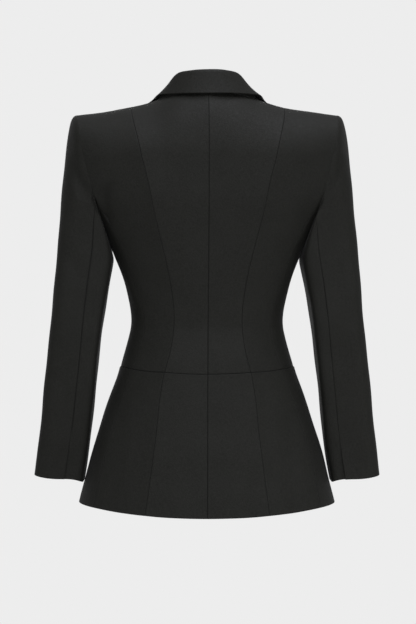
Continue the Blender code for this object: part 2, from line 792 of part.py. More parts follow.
def collar_section(along):
    """Visible face of the collar at each station: up the stand, round the roll and down the fall.

    The roll is half a circle that touches the roll line. Its plane holds the neck seam, roll and edge.
    """
    along = np.asarray(along)[:, None]
    seam, roll, edge = (item[:, 0] for item in (
        neck_seam(along), collar_points("roll", along), collar_points("edge", along)))
    seam = seam + unit(roll - seam) * COLLAR_SEAM_GAP
    radius = collar_column("roll_radius", along)
    up = unit(roll - (seam + edge) / 2)
    out = edge - seam
    out = unit(out - np.sum(out * up, axis=-1, keepdims=True) * up)
    middle = roll - up * radius
    stand = [
        leg(seam, unit(middle - seam), middle - out * radius, up, share)
        for share in run(0.0, 1.0, COLLAR_STAND_STEPS)[:-1]
    ]
    turned = [
        middle - out * radius * math.cos(angle) + up * radius * math.sin(angle)
        for angle in run(0.0, math.pi, COLLAR_ROLL_STEPS)
    ]
    fall = [
        leg(middle + out * radius, -up, edge, unit(edge - middle), share)
        for share in run(0.0, 1.0, COLLAR_FALL_STEPS)[1:]
    ]
    return np.stack(stand + turned + fall, axis=1)


def build_collar(collection, finish):
    """One folded leaf round the neck, from gorge to gorge."""
    left = collar_section(run(0.0, 1.0, COLLAR_STATIONS))
    points = np.concatenate([mirrored(left[:0:-1]), left])
    normals = -unit(np.cross(np.gradient(points, axis=0), np.gradient(points, axis=1)))
    cloth_wall("collar", points, normals, COLLAR_CLOTH, collection, finish)


def build_lapels(collection, finish):
    """Lapels: the front panel's points, moved out, with the inner edge rolled down to the front edge."""
    share = run(0.0, 1.0, LAPEL_ROWS)
    roll_x, roll_height = roll_line(LAPEL_FOOT_SHARE + (1.0 - LAPEL_FOOT_SHARE) * share)
    bulge = LAPEL_BELLY * np.sin(math.pi * share)
    foot_x = roll_x[0] + LAPEL_FOOT_WIDTH
    outer_x = foot_x + (LAPEL_TIP_X - foot_x) * share + bulge
    outer_height = roll_height[0] + (LAPEL_TIP_HEIGHT - roll_height[0]) * share
    across = run(0.0, 1.0, LAPEL_COLUMNS) ** 1.5
    x = roll_x[:, None] + (outer_x - roll_x)[:, None] * across
    height = roll_height[:, None] + (outer_height - roll_height)[:, None] * across
    from_roll = np.hypot(x - roll_x[:, None], height - roll_height[:, None])
    lift = LAPEL_LIFT * np.sin(np.clip(from_roll / LAPEL_ROLL, 0.0, 1.0) * math.pi / 2)
    points, normals = body_face(front_angle(x, height), height, lift)
    cloth_pair("lapel", points, normals, LAPEL_CLOTH, collection, finish)


def eyelet_seats(front_points):
    """(points, normals) of the left eyelets: the middles of the facets of the front panel's strip."""
    low, high = front_points[:EYELET_ROWS, -2:], front_points[1 : EYELET_ROWS + 1, -2:]
    points = (low.sum(axis=1) + high.sum(axis=1)) / 4
    normals = unit(np.cross(high[:, 0] - low[:, 1], high[:, 1] - low[:, 0]))
    return points, normals


def eyelet_profile():
    """Half section of an eyelet about its axis: a barrel with a flange on each face of the cloth."""
    top = EYELET_SEAT
    foot = -BODY_CLOTH - EYELET_SEAT
    return (
        (EYELET_BORE, top + EYELET_FLANGE_THICKNESS),
        (EYELET_FLANGE, top + EYELET_FLANGE_THICKNESS / 2),
        (EYELET_FLANGE, top),
        (EYELET_BARREL, top),
        (EYELET_BARREL, foot),
        (EYELET_FLANGE, foot),
        (EYELET_FLANGE, foot - EYELET_FLANGE_THICKNESS / 2),
        (EYELET_BORE, foot - EYELET_FLANGE_THICKNESS),
    )


def turned_eyelet(name, point, normal, collection, finish):
    """A spool turned about its axis and set square to the cloth."""
    work = bmesh.new()
    verts = [work.verts.new((radius * MM, 0.0, level * MM)) for radius, level in eyelet_profile()]
    for first, second in zip(verts, verts[1:] + verts[:1]):
        work.edges.new((first, second))
    mesh = bpy.data.meshes.new(name)
    work.to_mesh(mesh)
    work.free()
    eyelet = place(bpy.data.objects.new(name, mesh), collection, finish)
    screw = eyelet.modifiers.new("turn", "SCREW")
    screw.steps = screw.render_steps = EYELET_STEPS
    screw.use_merge_vertices = True
    screw.merge_threshold = 0.00005
    screw.use_smooth_shade = True
    eyelet.location = Vector(point) * MM
    eyelet.rotation_mode = "QUATERNION"
    eyelet.rotation_quaternion = Vector(normal).to_track_quat("Z", "Y")
    return eyelet


def cut_eyelet_holes(panel, points, normals, cutters):
    """Cuts the round holes for the eyelets' barrels through a front panel."""
    work = bmesh.new()
    for point, normal in zip(points, normals):
        square = Vector(normal).to_track_quat("Z", "Y").to_matrix().to_4x4()
        bmesh.ops.create_cone(
            work,
            cap_ends=True,
            segments=EYELET_STEPS,
            radius1=EYELET_HOLE * MM,
            radius2=EYELET_HOLE * MM,
            depth=8 * BODY_CLOTH * MM,
            matrix=Matrix.Translation(Vector(point) * MM) @ square,
        )
    mesh = bpy.data.meshes.new(f"cutter_{panel.name}")
    work.to_mesh(mesh)
    work.free()
    cutter = bpy.data.objects.new(mesh.name, mesh)
    cutters.objects.link(cutter)
    cutter.hide_render = True
    cutter.display_type = "WIRE"
    cut = panel.modifiers.new("eyelet_holes", "BOOLEAN")
    cut.operation = "DIFFERENCE"
    cut.object = cutter


def build_eyelets(panels, seats, collection, cutters, finish):
    points, normals = seats
    sides = (("left", points, normals), ("right", mirrored(points), mirrored(normals)))
    for panel, (side, places, ways) in zip(panels, sides):
        cut_eyelet_holes(panel, places, ways, cutters)
        for row, (point, normal) in enumerate(zip(places, ways), start=1):
            turned_eyelet(f"eyelet_{side}_{row}", point, normal, collection, finish)


def lace_stretch(start, end, normal, leaves, level, middle):
    """Stops of a stretch of lace between two eyelets, on one face of the cloth."""
    way = unit(end - start) * LACE_BEND
    return [
        start + normal * leaves,
        start + way + normal * level,
        (start + end) / 2 + normal * middle,
        end - way + normal * level,
        end + normal * leaves,
    ]


def lace_half(seats, side):
    """Route of half the lace, from the bottom eyelet on one side up to its knot.

    It comes out of an eyelet, crosses to the next one up on the other side, goes in, runs up behind the
    cloth to the eyelet above, and so on. The half that starts on the left passes over the other half.
    """
    points, normals = seats
    crossing = LACE_OUTSIDE + LACE_CROSSING * side
    stops = []
    for row in range(EYELET_ROWS - 1):
        outside = row % 2 == 0
        ends = [points[row], points[row + 1]]
        if side < 0:
            ends[0] = mirrored(ends[0])
        if outside:
            side = -side
        if side < 0:
            ends[1] = mirrored(ends[1])
        normal = unit(normals[row] + normals[row + 1])
        if outside:
            normal = normal * np.array([0.0, 1.0, 1.0])
            stops += lace_stretch(*ends, unit(normal), LACE_LEAVES, LACE_OUTSIDE, crossing)
        else:
            normal = mirrored(normal) if side < 0 else normal
            stops += lace_stretch(*ends, normal, LACE_ENTERS, LACE_INSIDE, LACE_INSIDE)
    return stops + [ends[1] + unit(normal) * level for level in (LACE_ENTERS, LACE_INSIDE)]


def build_lace(seats, collection, finish):
    """One round lace: its middle lies behind the lowest pair of eyelets and its ends are knotted inside."""
    points, normals = seats
    behind = points[0] + normals[0] * LACE_ENTERS
    bend = behind + normals[0] * (LACE_INSIDE - LACE_ENTERS) - np.array([LACE_BEND, 0.0, 0.0])
    bar = [mirrored(behind), mirrored(bend), bend, behind]
    stops = np.array(lace_half(seats, -1.0)[::-1] + bar + lace_half(seats, 1.0))
    keys = np.append(0.0, np.cumsum(np.linalg.norm(np.diff(stops, axis=0), axis=1)))
    between = [run(low, high, LACE_POINTS_PER_STRETCH)[:-1] for low, high in zip(keys, keys[1:])]
    at = np.append(np.concatenate(between), keys[-1])
    line = np.stack([smooth(keys, stops[:, axis], at) for axis in range(3)], axis=-1)
    data = bpy.data.curves.new("lace", "CURVE")
    data.dimensions = "3D"
    data.bevel_depth = LACE_RADIUS * MM
    data.bevel_resolution = 1
    data.use_fill_caps = True
    spline = data.splines.new("POLY")
    spline.points.add(len(line) - 1)
    for stop, point in zip(spline.points, line):
        stop.co = (*(point * MM), 1.0)
    for end in (0, 1, -2, -1):
        spline.points[end].radius = LACE_KNOT
    place(bpy.data.objects.new("lace", data), collection, finish)


def new_collection(name):
    made = bpy.data.collections.new(name)
    bpy.context.scene.collection.children.link(made)
    return made


def main():
    for obj in list(bpy.data.objects):
        bpy.data.objects.remove(obj)
    blazer = new_collection(COLLECTION_NAME)
    cutters = new_collection(f"{COLLECTION_NAME}_cutters")
    cloth = material("black_wool_suiting", BLACK_WOOL, 0.7)
    *fronts, front_points = build_body(blazer, cloth)
    build_sleeves(blazer, cloth)
    build_collar(blazer, cloth)
    build_lapels(blazer, cloth)
    seats = eyelet_seats(front_points)
    build_eyelets(fronts, seats, blazer, cutters, material("dark_metal", DARK_METAL, 0.35, 1.0))
    build_lace(seats, blazer, material("black_cord", BLACK_CORD, 0.6))


if __name__ == "__main__":
    main()
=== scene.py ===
"""Looks of the lace-up blazer: fine cloth on the jacket's own form, turned eyelets and a braided lace.

Every cloth piece is a face of two shares, drawn on a grid that is finer along its edges, given a thickness
and closed all round. The body panels lie on one torso and the sleeves on one tube, so neighbours share their
seams. Sizes are in millimetres until a mesh is made. The frame is in metres, and the jacket's front faces -Y.
"""

import logging
import math
from collections.abc import Callable, Iterator
from dataclasses import dataclass
from enum import Enum
from itertools import accumulate

import bmesh
import bpy
import numpy as np
from mathutils import Matrix, Vector

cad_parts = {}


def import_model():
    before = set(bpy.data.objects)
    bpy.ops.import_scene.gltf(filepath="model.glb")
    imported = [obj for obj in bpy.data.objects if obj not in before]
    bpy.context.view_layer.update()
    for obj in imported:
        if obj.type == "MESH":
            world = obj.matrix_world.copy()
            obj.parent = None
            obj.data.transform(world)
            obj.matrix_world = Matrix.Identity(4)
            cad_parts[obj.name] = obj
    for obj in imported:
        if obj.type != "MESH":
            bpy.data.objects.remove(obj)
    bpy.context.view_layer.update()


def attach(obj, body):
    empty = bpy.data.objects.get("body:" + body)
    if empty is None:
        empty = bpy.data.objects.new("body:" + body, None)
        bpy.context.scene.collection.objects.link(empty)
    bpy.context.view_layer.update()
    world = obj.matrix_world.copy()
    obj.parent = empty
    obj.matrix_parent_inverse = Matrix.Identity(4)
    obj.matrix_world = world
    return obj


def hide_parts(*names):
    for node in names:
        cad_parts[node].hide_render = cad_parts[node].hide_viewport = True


Array = np.ndarray
Table = dict[str, Array]
Face = Callable[[Array, Array], tuple[Array, Array]]
Line = Callable[[Array], Array]
SeamLine = Callable[[Table, Array], Array]
Tree = bpy.types.NodeTree
Socket = bpy.types.NodeSocket
Material = bpy.types.Material
Piece = bpy.types.Object

MM = 0.001
SQUARE_CM = 1e-4
QUARTER = math.pi / 2
FULL_TURN = 2.0 * math.pi
BODY = "root"
UV_NAME = "along_the_grain"
# Name of the mask that says where painted shade darkens the cloth beside the seams.
SEAM_SHADE_NAME = "in_the_seam"
# A wave texture's bands repeat where the coordinate, or their sum for diagonal bands, grows by this much over
# the texture's scale.
BAND_REPEAT = 0.314
DIAGONAL_REPEAT = 0.628
# A way that no stretch of the lace runs along, from which one square to it can be had.
ODD_WAY = (0.31, 0.52, 0.79)
# The most of a line's length that the grid lines set beside one edge may take.
MOST_BESIDE_EDGE = 0.3
log = logging.getLogger("blazer")


def table(columns: str, *rows: tuple[float, ...]) -> Table:
    """Columns of a short table, by their names, which are parted by spaces."""
    return dict(zip(columns.split(), np.array(rows, float).T))


SECTIONS = table(
    "height back_spread front_spread back_depth front_depth",
    (-660, 207.0, 207.0, 161.0, 160.0),
    (-560, 181.8, 181.8, 140.0, 145.0),
    (-464, 151.4, 151.4, 116.4, 122.0),
    (-430, 139.2, 139.2, 107.4, 112.0),
    (-400, 129.6, 129.6, 98.4, 104.0),
    (-378, 124.2, 124.2, 91.6, 99.0),
    (-364, 121.5, 121.5, 88.0, 96.7),
    (-352, 120.6, 120.6, 87.8, 96.0),
    (-340, 121.1, 121.1, 88.6, 97.1),
    (-304, 128.2, 128.2, 91.6, 106.0),
    (-256, 145.0, 145.0, 94.8, 121.0),
    (-234, 153.7, 153.7, 96.3, 123.0),
    (-220, 161.5, 158.0, 97.2, 122.5),
    (-190, 179.5, 167.6, 98.5, 117.0),
    (-165, 201.4, 176.7, 100.0, 110.0),
    (-130, 223.2, 192.0, 99.0, 100.0),
    (-100, 239.0, 207.0, 97.0, 94.0),
    (-55, 265.0, 232.0, 95.0, 87.0),
    (0, 284.0, 246.0, 93.0, 84.0),
)
SHOULDER = table(
    "across height",
    (0, 38.0), (40, 25.0), (80, 0.0), (105, -8.0), (125, -12.8), (150, -17.4), (175, -20.8),
    (200, -23.9), (215, -26.0),
)
CENTRE_BACK = table("height across", (-660, 0.0), (0, 0.0))
FRONT_EDGE = table("height across", (-660, 4.0), (0, 4.0))
BACK_PRINCESS = table(
    "height across",
    (-660, 94.5), (-540, 79.5), (-440, 67.0), (-403, 57.4), (-358, 52.0), (-296, 58.1), (-240, 69.4),
    (-184, 83.0), (-134, 94.2), (-96, 104.6), (-51, 118.0), (0, 123.4),
)
SIDE_BACK_SEAM = table(
    "height across",
    (-660, 176.0), (-576, 159.4), (-482, 134.0), (-430, 117.0), (-355, 98.0), (-313, 107.2),
    (-281, 118.6), (-242, 133.0), (-201, 153.0), (-174, 173.4),
)
FRONT_PRINCESS = table(
    "height across",
    (-660, 112.0), (-540, 92.0), (-430, 72.0), (-352, 60.0), (-304, 66.0), (-256, 80.0), (-215, 104.0),
    (-180, 141.0), (-150, 167.5),
)
BACK_ARMHOLE = table(
    "height across",
    (-234, 153.7), (-220, 157.8), (-190, 167.4), (-165, 176.5), (-130, 186.3), (-80, 200.0),
    (-28, 207.0), (0, 209.0),
)
FRONT_ARMHOLE = table(
    "height across",
    (-234, 153.7), (-220, 156.0), (-190, 160.4), (-165, 164.6), (-130, 172.0), (-80, 189.0),
    (-28, 205.0), (0, 209.0),
)
CORNERS = table(
    "height princess side_back",
    (-660, 6.0, 4.5), (-540, 4.6, 3.2), (-430, 5.0, 1.6), (-372, 5.0, 1.4), (-320, 2.6, 1.6),
    (-256, 5.0, 1.6), (-190, 8.4, 0.8), (-140, 8.4, 0.4), (-80, 3.6, 0.0), (-40, 1.0, 0.0),
    (0, 0.0, 0.0),
)
ARM = table(
    "height centre_x centre_y half_width half_depth outer_rise",
    (-606, 235.6, 10.0, 39.0, 42.0, 5.4),
    (-544, 227.0, 13.0, 40.0, 44.0, 5.0),
    (-448, 217.2, 16.0, 40.0, 47.0, 5.0),
    (-352, 206.8, 13.5, 40.7, 51.0, 6.0),
    (-256, 195.0, 4.0, 44.6, 55.0, 7.0),
)
COLLAR = table(
    "along roll_x roll_y roll_z edge_x edge_y edge_z roll_radius",
    (0.00, 0.0, 50.0, 41.7, 0.0, 64.8, 3.6, 3.8),
    (0.16, 26.0, 44.5, 40.8, 38.0, 56.8, 3.8, 3.8),
    (0.30, 46.5, 26.5, 37.5, 65.0, 37.5, 4.6, 3.8),
    (0.44, 57.5, 5.0, 26.0, 80.6, 18.5, 4.6, 3.6),
    (0.58, 62.0, -20.5, 16.0, 89.2, -8.0, -1.0, 3.4),
    (0.72, 62.0, -45.0, 5.0, 103.0, -43.5, -11.4, 3.1),
    (0.86, 60.5, -66.5, -11.5, 115.0, -74.0, -42.0, 2.8),
    (1.00, 57.0, -81.0, -34.0, 103.3, -83.0, -59.5, 2.6),
)
# The jacket hangs with a slight twist: X moves by this share of Y, more towards the top.
TWIST = table(
    "height share",
    (-660, 0.004), (-430, 0.012), (-300, 0.024), (-165, 0.032), (0, 0.040), (60, 0.042),
)


class Side(Enum):
    """Half of the jacket, as its wearer names it. The value is the sign of its X."""

    LEFT = 1.0
    RIGHT = -1.0

    def named(self, piece: str) -> str:
        """Name of the piece on this side."""
        return f"{piece}_{self.name.lower()}"


class Facing(Enum):
    """Which way a crease's cloth faces. The value is the sign of its Y."""

    BACK = 1.0
    FRONT = -1.0


class Hold(Enum):
    """How a piece of cloth is kept in its form."""

    HUNG = "hung"
    FOLDED = "folded"


def unit(vectors: Array) -> Array:
    """Vectors of length 1, along the last axis."""
    return vectors / np.linalg.norm(vectors, axis=-1, keepdims=True)


def run(start: float, end: float, steps: int) -> Array:
    """Even places from start to end."""
    return np.linspace(start, end, steps + 1)


def clamped(share: Array) -> Array:
    """Shares kept from 0 to 1."""
    return np.clip(share, 0.0, 1.0)


def past(share: Array, start: float) -> Array:
    """How far shares have come from a start to 1, from 0 to 1."""
    return clamped((share - start) / (1.0 - start))


def between(start: Array | float, end: Array | float, share: Array) -> Array:
    """Places at shares of the way from start to end."""
    return start + (end - start) * share


def behind(points: Array) -> Array:
    """Length of the line through points that lies behind each of them."""
    return np.append(0.0, np.cumsum(np.linalg.norm(np.diff(points, axis=0), axis=1)))


def square_to(way: Array) -> Array:
    """A unit vector square to a way."""
    return unit(np.cross(way, ODD_WAY))


def on_side(points: Array, side: Side) -> Array:
    """The left half's points or normals, on the given side."""
    return points * np.array([side.value, 1.0, 1.0])


def hung(points: Array) -> Array:
    """Points of the upright jacket, moved sideways by its slight twist."""
    x, y, z = np.moveaxis(points, -1, 0)
    return np.stack([x - y * read(TWIST, "share", z), y, z], axis=-1)


def ease(share: Array) -> Array:
    """A smooth step from 0 to 1: three squares less two cubes of the share."""
    share = clamped(share)
    return share * share * (3.0 - 2.0 * share)


def travelled(steps: Array) -> Array:
    """Share of the whole way that lies behind the end of each step, from 0 to 1."""
    way = np.append(0.0, np.cumsum(steps))
    return way / way[-1]


def smooth(keys: Array, values: Array, at: Array) -> Array:
    """A smooth curve through values: cubic stretches that share their slopes.

    Args:
        keys: Rising places of the values.
        values: What the curve passes through.
        at: Places to read it at.

    Returns:
        The curve there.
    """
    slopes = np.gradient(values, keys)
    at = np.asarray(at, float)
    low = np.clip(np.searchsorted(keys, at) - 1, 0, len(keys) - 2)
    span = keys[low + 1] - keys[low]
    share = clamped((at - keys[low]) / span)
    lead = share * (1.0 - share) ** 2 * span * slopes[low]
    trail = share * share * (share - 1.0) * span * slopes[low + 1]
    return values[low] + (values[low + 1] - values[low]) * ease(share) + lead + trail


def read(rows: Table, column: str, height: Array) -> Array:
    """A column of a table, at heights."""
    return smooth(rows["height"], rows[column], height)


def across(seam: Table, height: Array) -> Array:
    """A seam's distance from the centre, at heights."""
    return read(seam, "across", height)


def leg(start: Array, start_way: Array, end: Array, end_way: Array, share: Array) -> Array:
    """A cubic from start to end that leaves and arrives along two ways, scaled to its length.

    Args:
        start: Points where it starts.
        start_way: Unit vectors along which it leaves.
        end: Points where it ends.
        end_way: Unit vectors along which it arrives.
        share: How far along it to read, from 0 to 1.

    Returns:
        Points of the curve.
    """
    length = np.linalg.norm(end - start, axis=-1, keepdims=True)
    lead = share * (1.0 - share) ** 2 * length * start_way
    trail = share * share * (share - 1.0) * length * end_way
    return start + (end - start) * ease(share) + lead + trail


def linear(colour: str) -> tuple[float, float, float, float]:
    """Turns an sRGB hex colour to linear light.

    Args:
        colour: Six hex digits after a hash.

    Returns:
        Red, green, blue and an alpha of 1.
    """
    parts = np.array([int(colour[at : at + 2], 16) for at in (1, 3, 5)]) / 255.0
    light = np.where(parts <= 0.04045, parts / 12.92, ((parts + 0.055) / 1.055) ** 2.4)
    return (*light.tolist(), 1.0)


def add(tree: Tree, kind: str, inputs: dict, output: int | str = 0, **settings: object) -> Socket | None:
    """Adds a node with its settings and links.

    Args:
        tree: Tree that it goes into.
        kind: Blender's name of the node's type.
        inputs: For each input socket, another node's output to link or a value to set.
        output: Which output to give back.
        settings: Properties of the node.

    Returns:
        The node's output socket, or None if it has no outputs.
    """
    made = tree.nodes.new(kind)
    for name, value in settings.items():
        setattr(made, name, value)
    for socket, value in inputs.items():
        if isinstance(value, Socket):
            tree.links.new(value, made.inputs[socket])
        else:
            made.inputs[socket].default_value = value
    return made.outputs[output] if made.outputs else None


def blank_material(name: str) -> Material:
    """A material with no nodes yet, named for the real material and how it was made.

    Args:
        name: The material's name.

    Returns:
        The material.
    """
    made = bpy.data.materials.new(name)
    made.use_nodes = True
    made.node_tree.nodes.clear()
    return made


@dataclass(frozen=True)
class WoolSuiting:
    """Black worsted wool suiting, woven as a fine twill and pressed hard.

    It is nearly matt, with a faint broad gloss from the pressing. The black is a little uneven and slightly
    olive where the cloth is dark, and the short fibres give a pale bloom where it turns away from the eye.
    A shade is how much an unevenness changes the colour, and a relief how much it raises the face.
    """

    deep: str = "#191916"
    pale: str = "#242421"
    bloom: str = "#cdcdc9"
    # Painted shade: the colour that the cloth is turned towards beside the seams, where their hollows lie in
    # shadow.
    painted_seam_shade: str = "#191917"
    smooth_roughness: float = 0.58
    rough_roughness: float = 0.70
    specular: float = 0.12
    sheen: float = 0.045
    sheen_roughness: float = 0.30
    # A suiting twill has a line about every 0.5 mm. It is drawn coarser, because that is too fine to show.
    twill_pitch: float = 1.3
    twill_waver: float = 0.7
    nap_size: float = 2.4
    slub_size: float = 5.0
    cloud_size: float = 38.0
    base_shade: float = -0.75
    nap_shade: float = 1.6
    slub_shade: float = 0.45
    cloud_shade: float = 0.35
    twill_shade: float = 0.1
    twill_relief: float = 0.15
    slub_relief: float = 0.6
    relief: float = 0.3
    relief_strength: float = 0.9

    def material(self) -> Material:
        """The finish as nodes.

        Diagonal bands of twill, the nap, slubs in the yarn and broad clouds in the dye make the black uneven.
        In the grooves beside the seams the colour is turned towards a dark one, as painted shade for the
        shadow in their hollows.

        Returns:
            The material.
        """
        made = blank_material("worsted_wool_twill_pressed")
        tree = made.node_tree
        place = add(tree, "ShaderNodeUVMap", {}, uv_map=UV_NAME)
        band = DIAGONAL_REPEAT / (math.sqrt(2.0) * self.twill_pitch * MM)
        bands = {"Vector": place, "Scale": band, "Distortion": self.twill_waver, "Detail": 1.0}
        twill = add(tree, "ShaderNodeTexWave", bands, "Fac", bands_direction="DIAGONAL")
        solid = add(tree, "ShaderNodeTexCoord", {}, "Object")
        sizes = (self.nap_size, self.slub_size, self.cloud_size)
        patches = [{"Vector": solid, "Scale": 1.0 / (size * MM), "Detail": 3.0} for size in sizes]
        nap, slub, cloud = (add(tree, "ShaderNodeTexNoise", inputs, "Fac") for inputs in patches)
        uneven, height = self.base_shade, nap
        weights = (self.nap_shade, self.slub_shade, self.cloud_shade, self.twill_shade)
        for value, weight in zip((nap, slub, cloud, twill), weights):
            uneven = add(tree, "ShaderNodeMath", {0: value, 1: weight, 2: uneven}, operation="MULTIPLY_ADD")
        for value, weight in ((twill, self.twill_relief), (slub, self.slub_relief)):
            height = add(tree, "ShaderNodeMath", {0: value, 1: weight, 2: height}, operation="MULTIPLY_ADD")
        # In the colour form of the Mix node, sockets 6 and 7 are its colours and output 2 is the mixed one.
        shades = {0: uneven, 6: linear(self.deep), 7: linear(self.pale)}
        black = add(tree, "ShaderNodeMix", shades, 2, data_type="RGBA")
        # Painted shade: the mask beside the seams, which darkens the colour there as though in shadow.
        painted_seam_shade = add(tree, "ShaderNodeAttribute", {}, "Fac", attribute_name=SEAM_SHADE_NAME)
        shades = {0: painted_seam_shade, 6: black, 7: linear(self.painted_seam_shade)}
        slubs = {"Value": slub, "From Min": 0.3, "From Max": 0.7}
        dulled = {"To Min": self.smooth_roughness, "To Max": self.rough_roughness}
        raised = {"Height": height, "Strength": self.relief_strength, "Distance": self.relief * MM}
        shader = add(
            tree,
            "ShaderNodeBsdfPrincipled",
            {
                "Base Color": add(tree, "ShaderNodeMix", shades, 2, data_type="RGBA"),
                "Roughness": add(tree, "ShaderNodeMapRange", slubs | dulled),
                "Normal": add(tree, "ShaderNodeBump", raised),
                "Specular IOR Level": self.specular,
                "Sheen Weight": self.sheen,
                "Sheen Roughness": self.sheen_roughness,
                "Sheen Tint": linear(self.bloom),
            },
        )
        add(tree, "ShaderNodeOutputMaterial", {"Surface": shader})
        return made


@dataclass(frozen=True)
class NickelPlate:
    """Brass eyelets with dark nickel plate, tumbled: soft grey metal with fine rubbed marks."""

    shade: str = "#5f6063"
    rubbed: str = "#7d7e80"
    roughness: float = 0.27
    worn_roughness: float = 0.40
    mark_size: float = 1.1

    def material(self) -> Material:
        """The finish as nodes: plate that is paler and duller in small rubbed patches.

        Returns:
            The material.
        """
        made = blank_material("dark_nickel_plate_tumbled")
        tree = made.node_tree
        solid = add(tree, "ShaderNodeTexCoord", {}, "Object")
        patches = {"Vector": solid, "Scale": 1.0 / (self.mark_size * MM), "Detail": 4.0}
        marks = add(tree, "ShaderNodeTexNoise", patches, "Fac")
        shades = {0: marks, 6: linear(self.shade), 7: linear(self.rubbed)}
        colour = add(tree, "ShaderNodeMix", shades, 2, data_type="RGBA")
        dulled = {"Value": marks, "To Min": self.roughness, "To Max": self.worn_roughness}
        rough = add(tree, "ShaderNodeMapRange", dulled)
        plate = {"Base Color": colour, "Roughness": rough, "Metallic": 1.0}
        shader = add(tree, "ShaderNodeBsdfPrincipled", plate)
        add(tree, "ShaderNodeOutputMaterial", {"Surface": shader})
        return made


@dataclass(frozen=True)
class BraidedCord:
    """Black braided cotton cord, waxed: matt plaited strands, with painted shade in the gaps between them."""

    # Painted shade: the colour of the gaps between the strands, where they lie in shadow.
    painted_gap_shade: str = "#0c0c0c"
    strand: str = "#232322"
    roughness: float = 0.62
    specular: float = 0.25
    sheen: float = 0.15
    relief: float = 0.25
    relief_strength: float = 0.5

    def material(self) -> Material:
        """The finish as nodes: strands that cross, from the larger of two waves along both diagonals.

        Returns:
            The material.
        """
        made = blank_material("cotton_cord_braided_waxed")
        tree = made.node_tree
        # The lace's map counts strands round it and along it, so one strand's width is 1 both ways.
        place = add(tree, "ShaderNodeUVMap", {}, uv_map=UV_NAME)
        waves = []
        for turn in (math.pi / 4, -math.pi / 4):
            turned = add(tree, "ShaderNodeMapping", {"Vector": place, "Rotation": (0.0, 0.0, turn)})
            waves.append(add(tree, "ShaderNodeTexWave", {"Vector": turned, "Scale": BAND_REPEAT}, "Fac"))
        strands = add(tree, "ShaderNodeMath", dict(enumerate(waves)), operation="MAXIMUM")
        # Painted shade: the colour turns dark between the crossing strands, as though in shadow.
        shades = {0: strands, 6: linear(self.painted_gap_shade), 7: linear(self.strand)}
        raised = {"Height": strands, "Strength": self.relief_strength, "Distance": self.relief * MM}
        shader = add(
            tree,
            "ShaderNodeBsdfPrincipled",
            {
                "Base Color": add(tree, "ShaderNodeMix", shades, 2, data_type="RGBA"),
                "Roughness": self.roughness,
                "Normal": add(tree, "ShaderNodeBump", raised),
                "Specular IOR Level": self.specular,
                "Sheen Weight": self.sheen,
            },
        )
        add(tree, "ShaderNodeOutputMaterial", {"Surface": shader})
        return made


@dataclass(frozen=True)
class FloorPaint:
    """Matt white emulsion, rolled on: pale, even and dull."""

    shade: str = "#b6b6b5"
    pale: str = "#bebebd"
    roughness: float = 0.85
    roller_mark: float = 160.0

    def material(self) -> Material:
        """The finish as nodes: two pale shades in broad patches.

        Returns:
            The material.
        """
        made = blank_material("white_emulsion_rolled")
        tree = made.node_tree
        solid = add(tree, "ShaderNodeTexCoord", {}, "Object")
        patches = {"Vector": solid, "Scale": 1.0 / (self.roller_mark * MM)}
        shades = {
            0: add(tree, "ShaderNodeTexNoise", patches, "Fac"),
            6: linear(self.shade),
            7: linear(self.pale),
        }
        colour = add(tree, "ShaderNodeMix", shades, 2, data_type="RGBA")
        shader = add(tree, "ShaderNodeBsdfPrincipled", {"Base Color": colour, "Roughness": self.roughness})
        add(tree, "ShaderNodeOutputMaterial", {"Surface": shader})
        return made


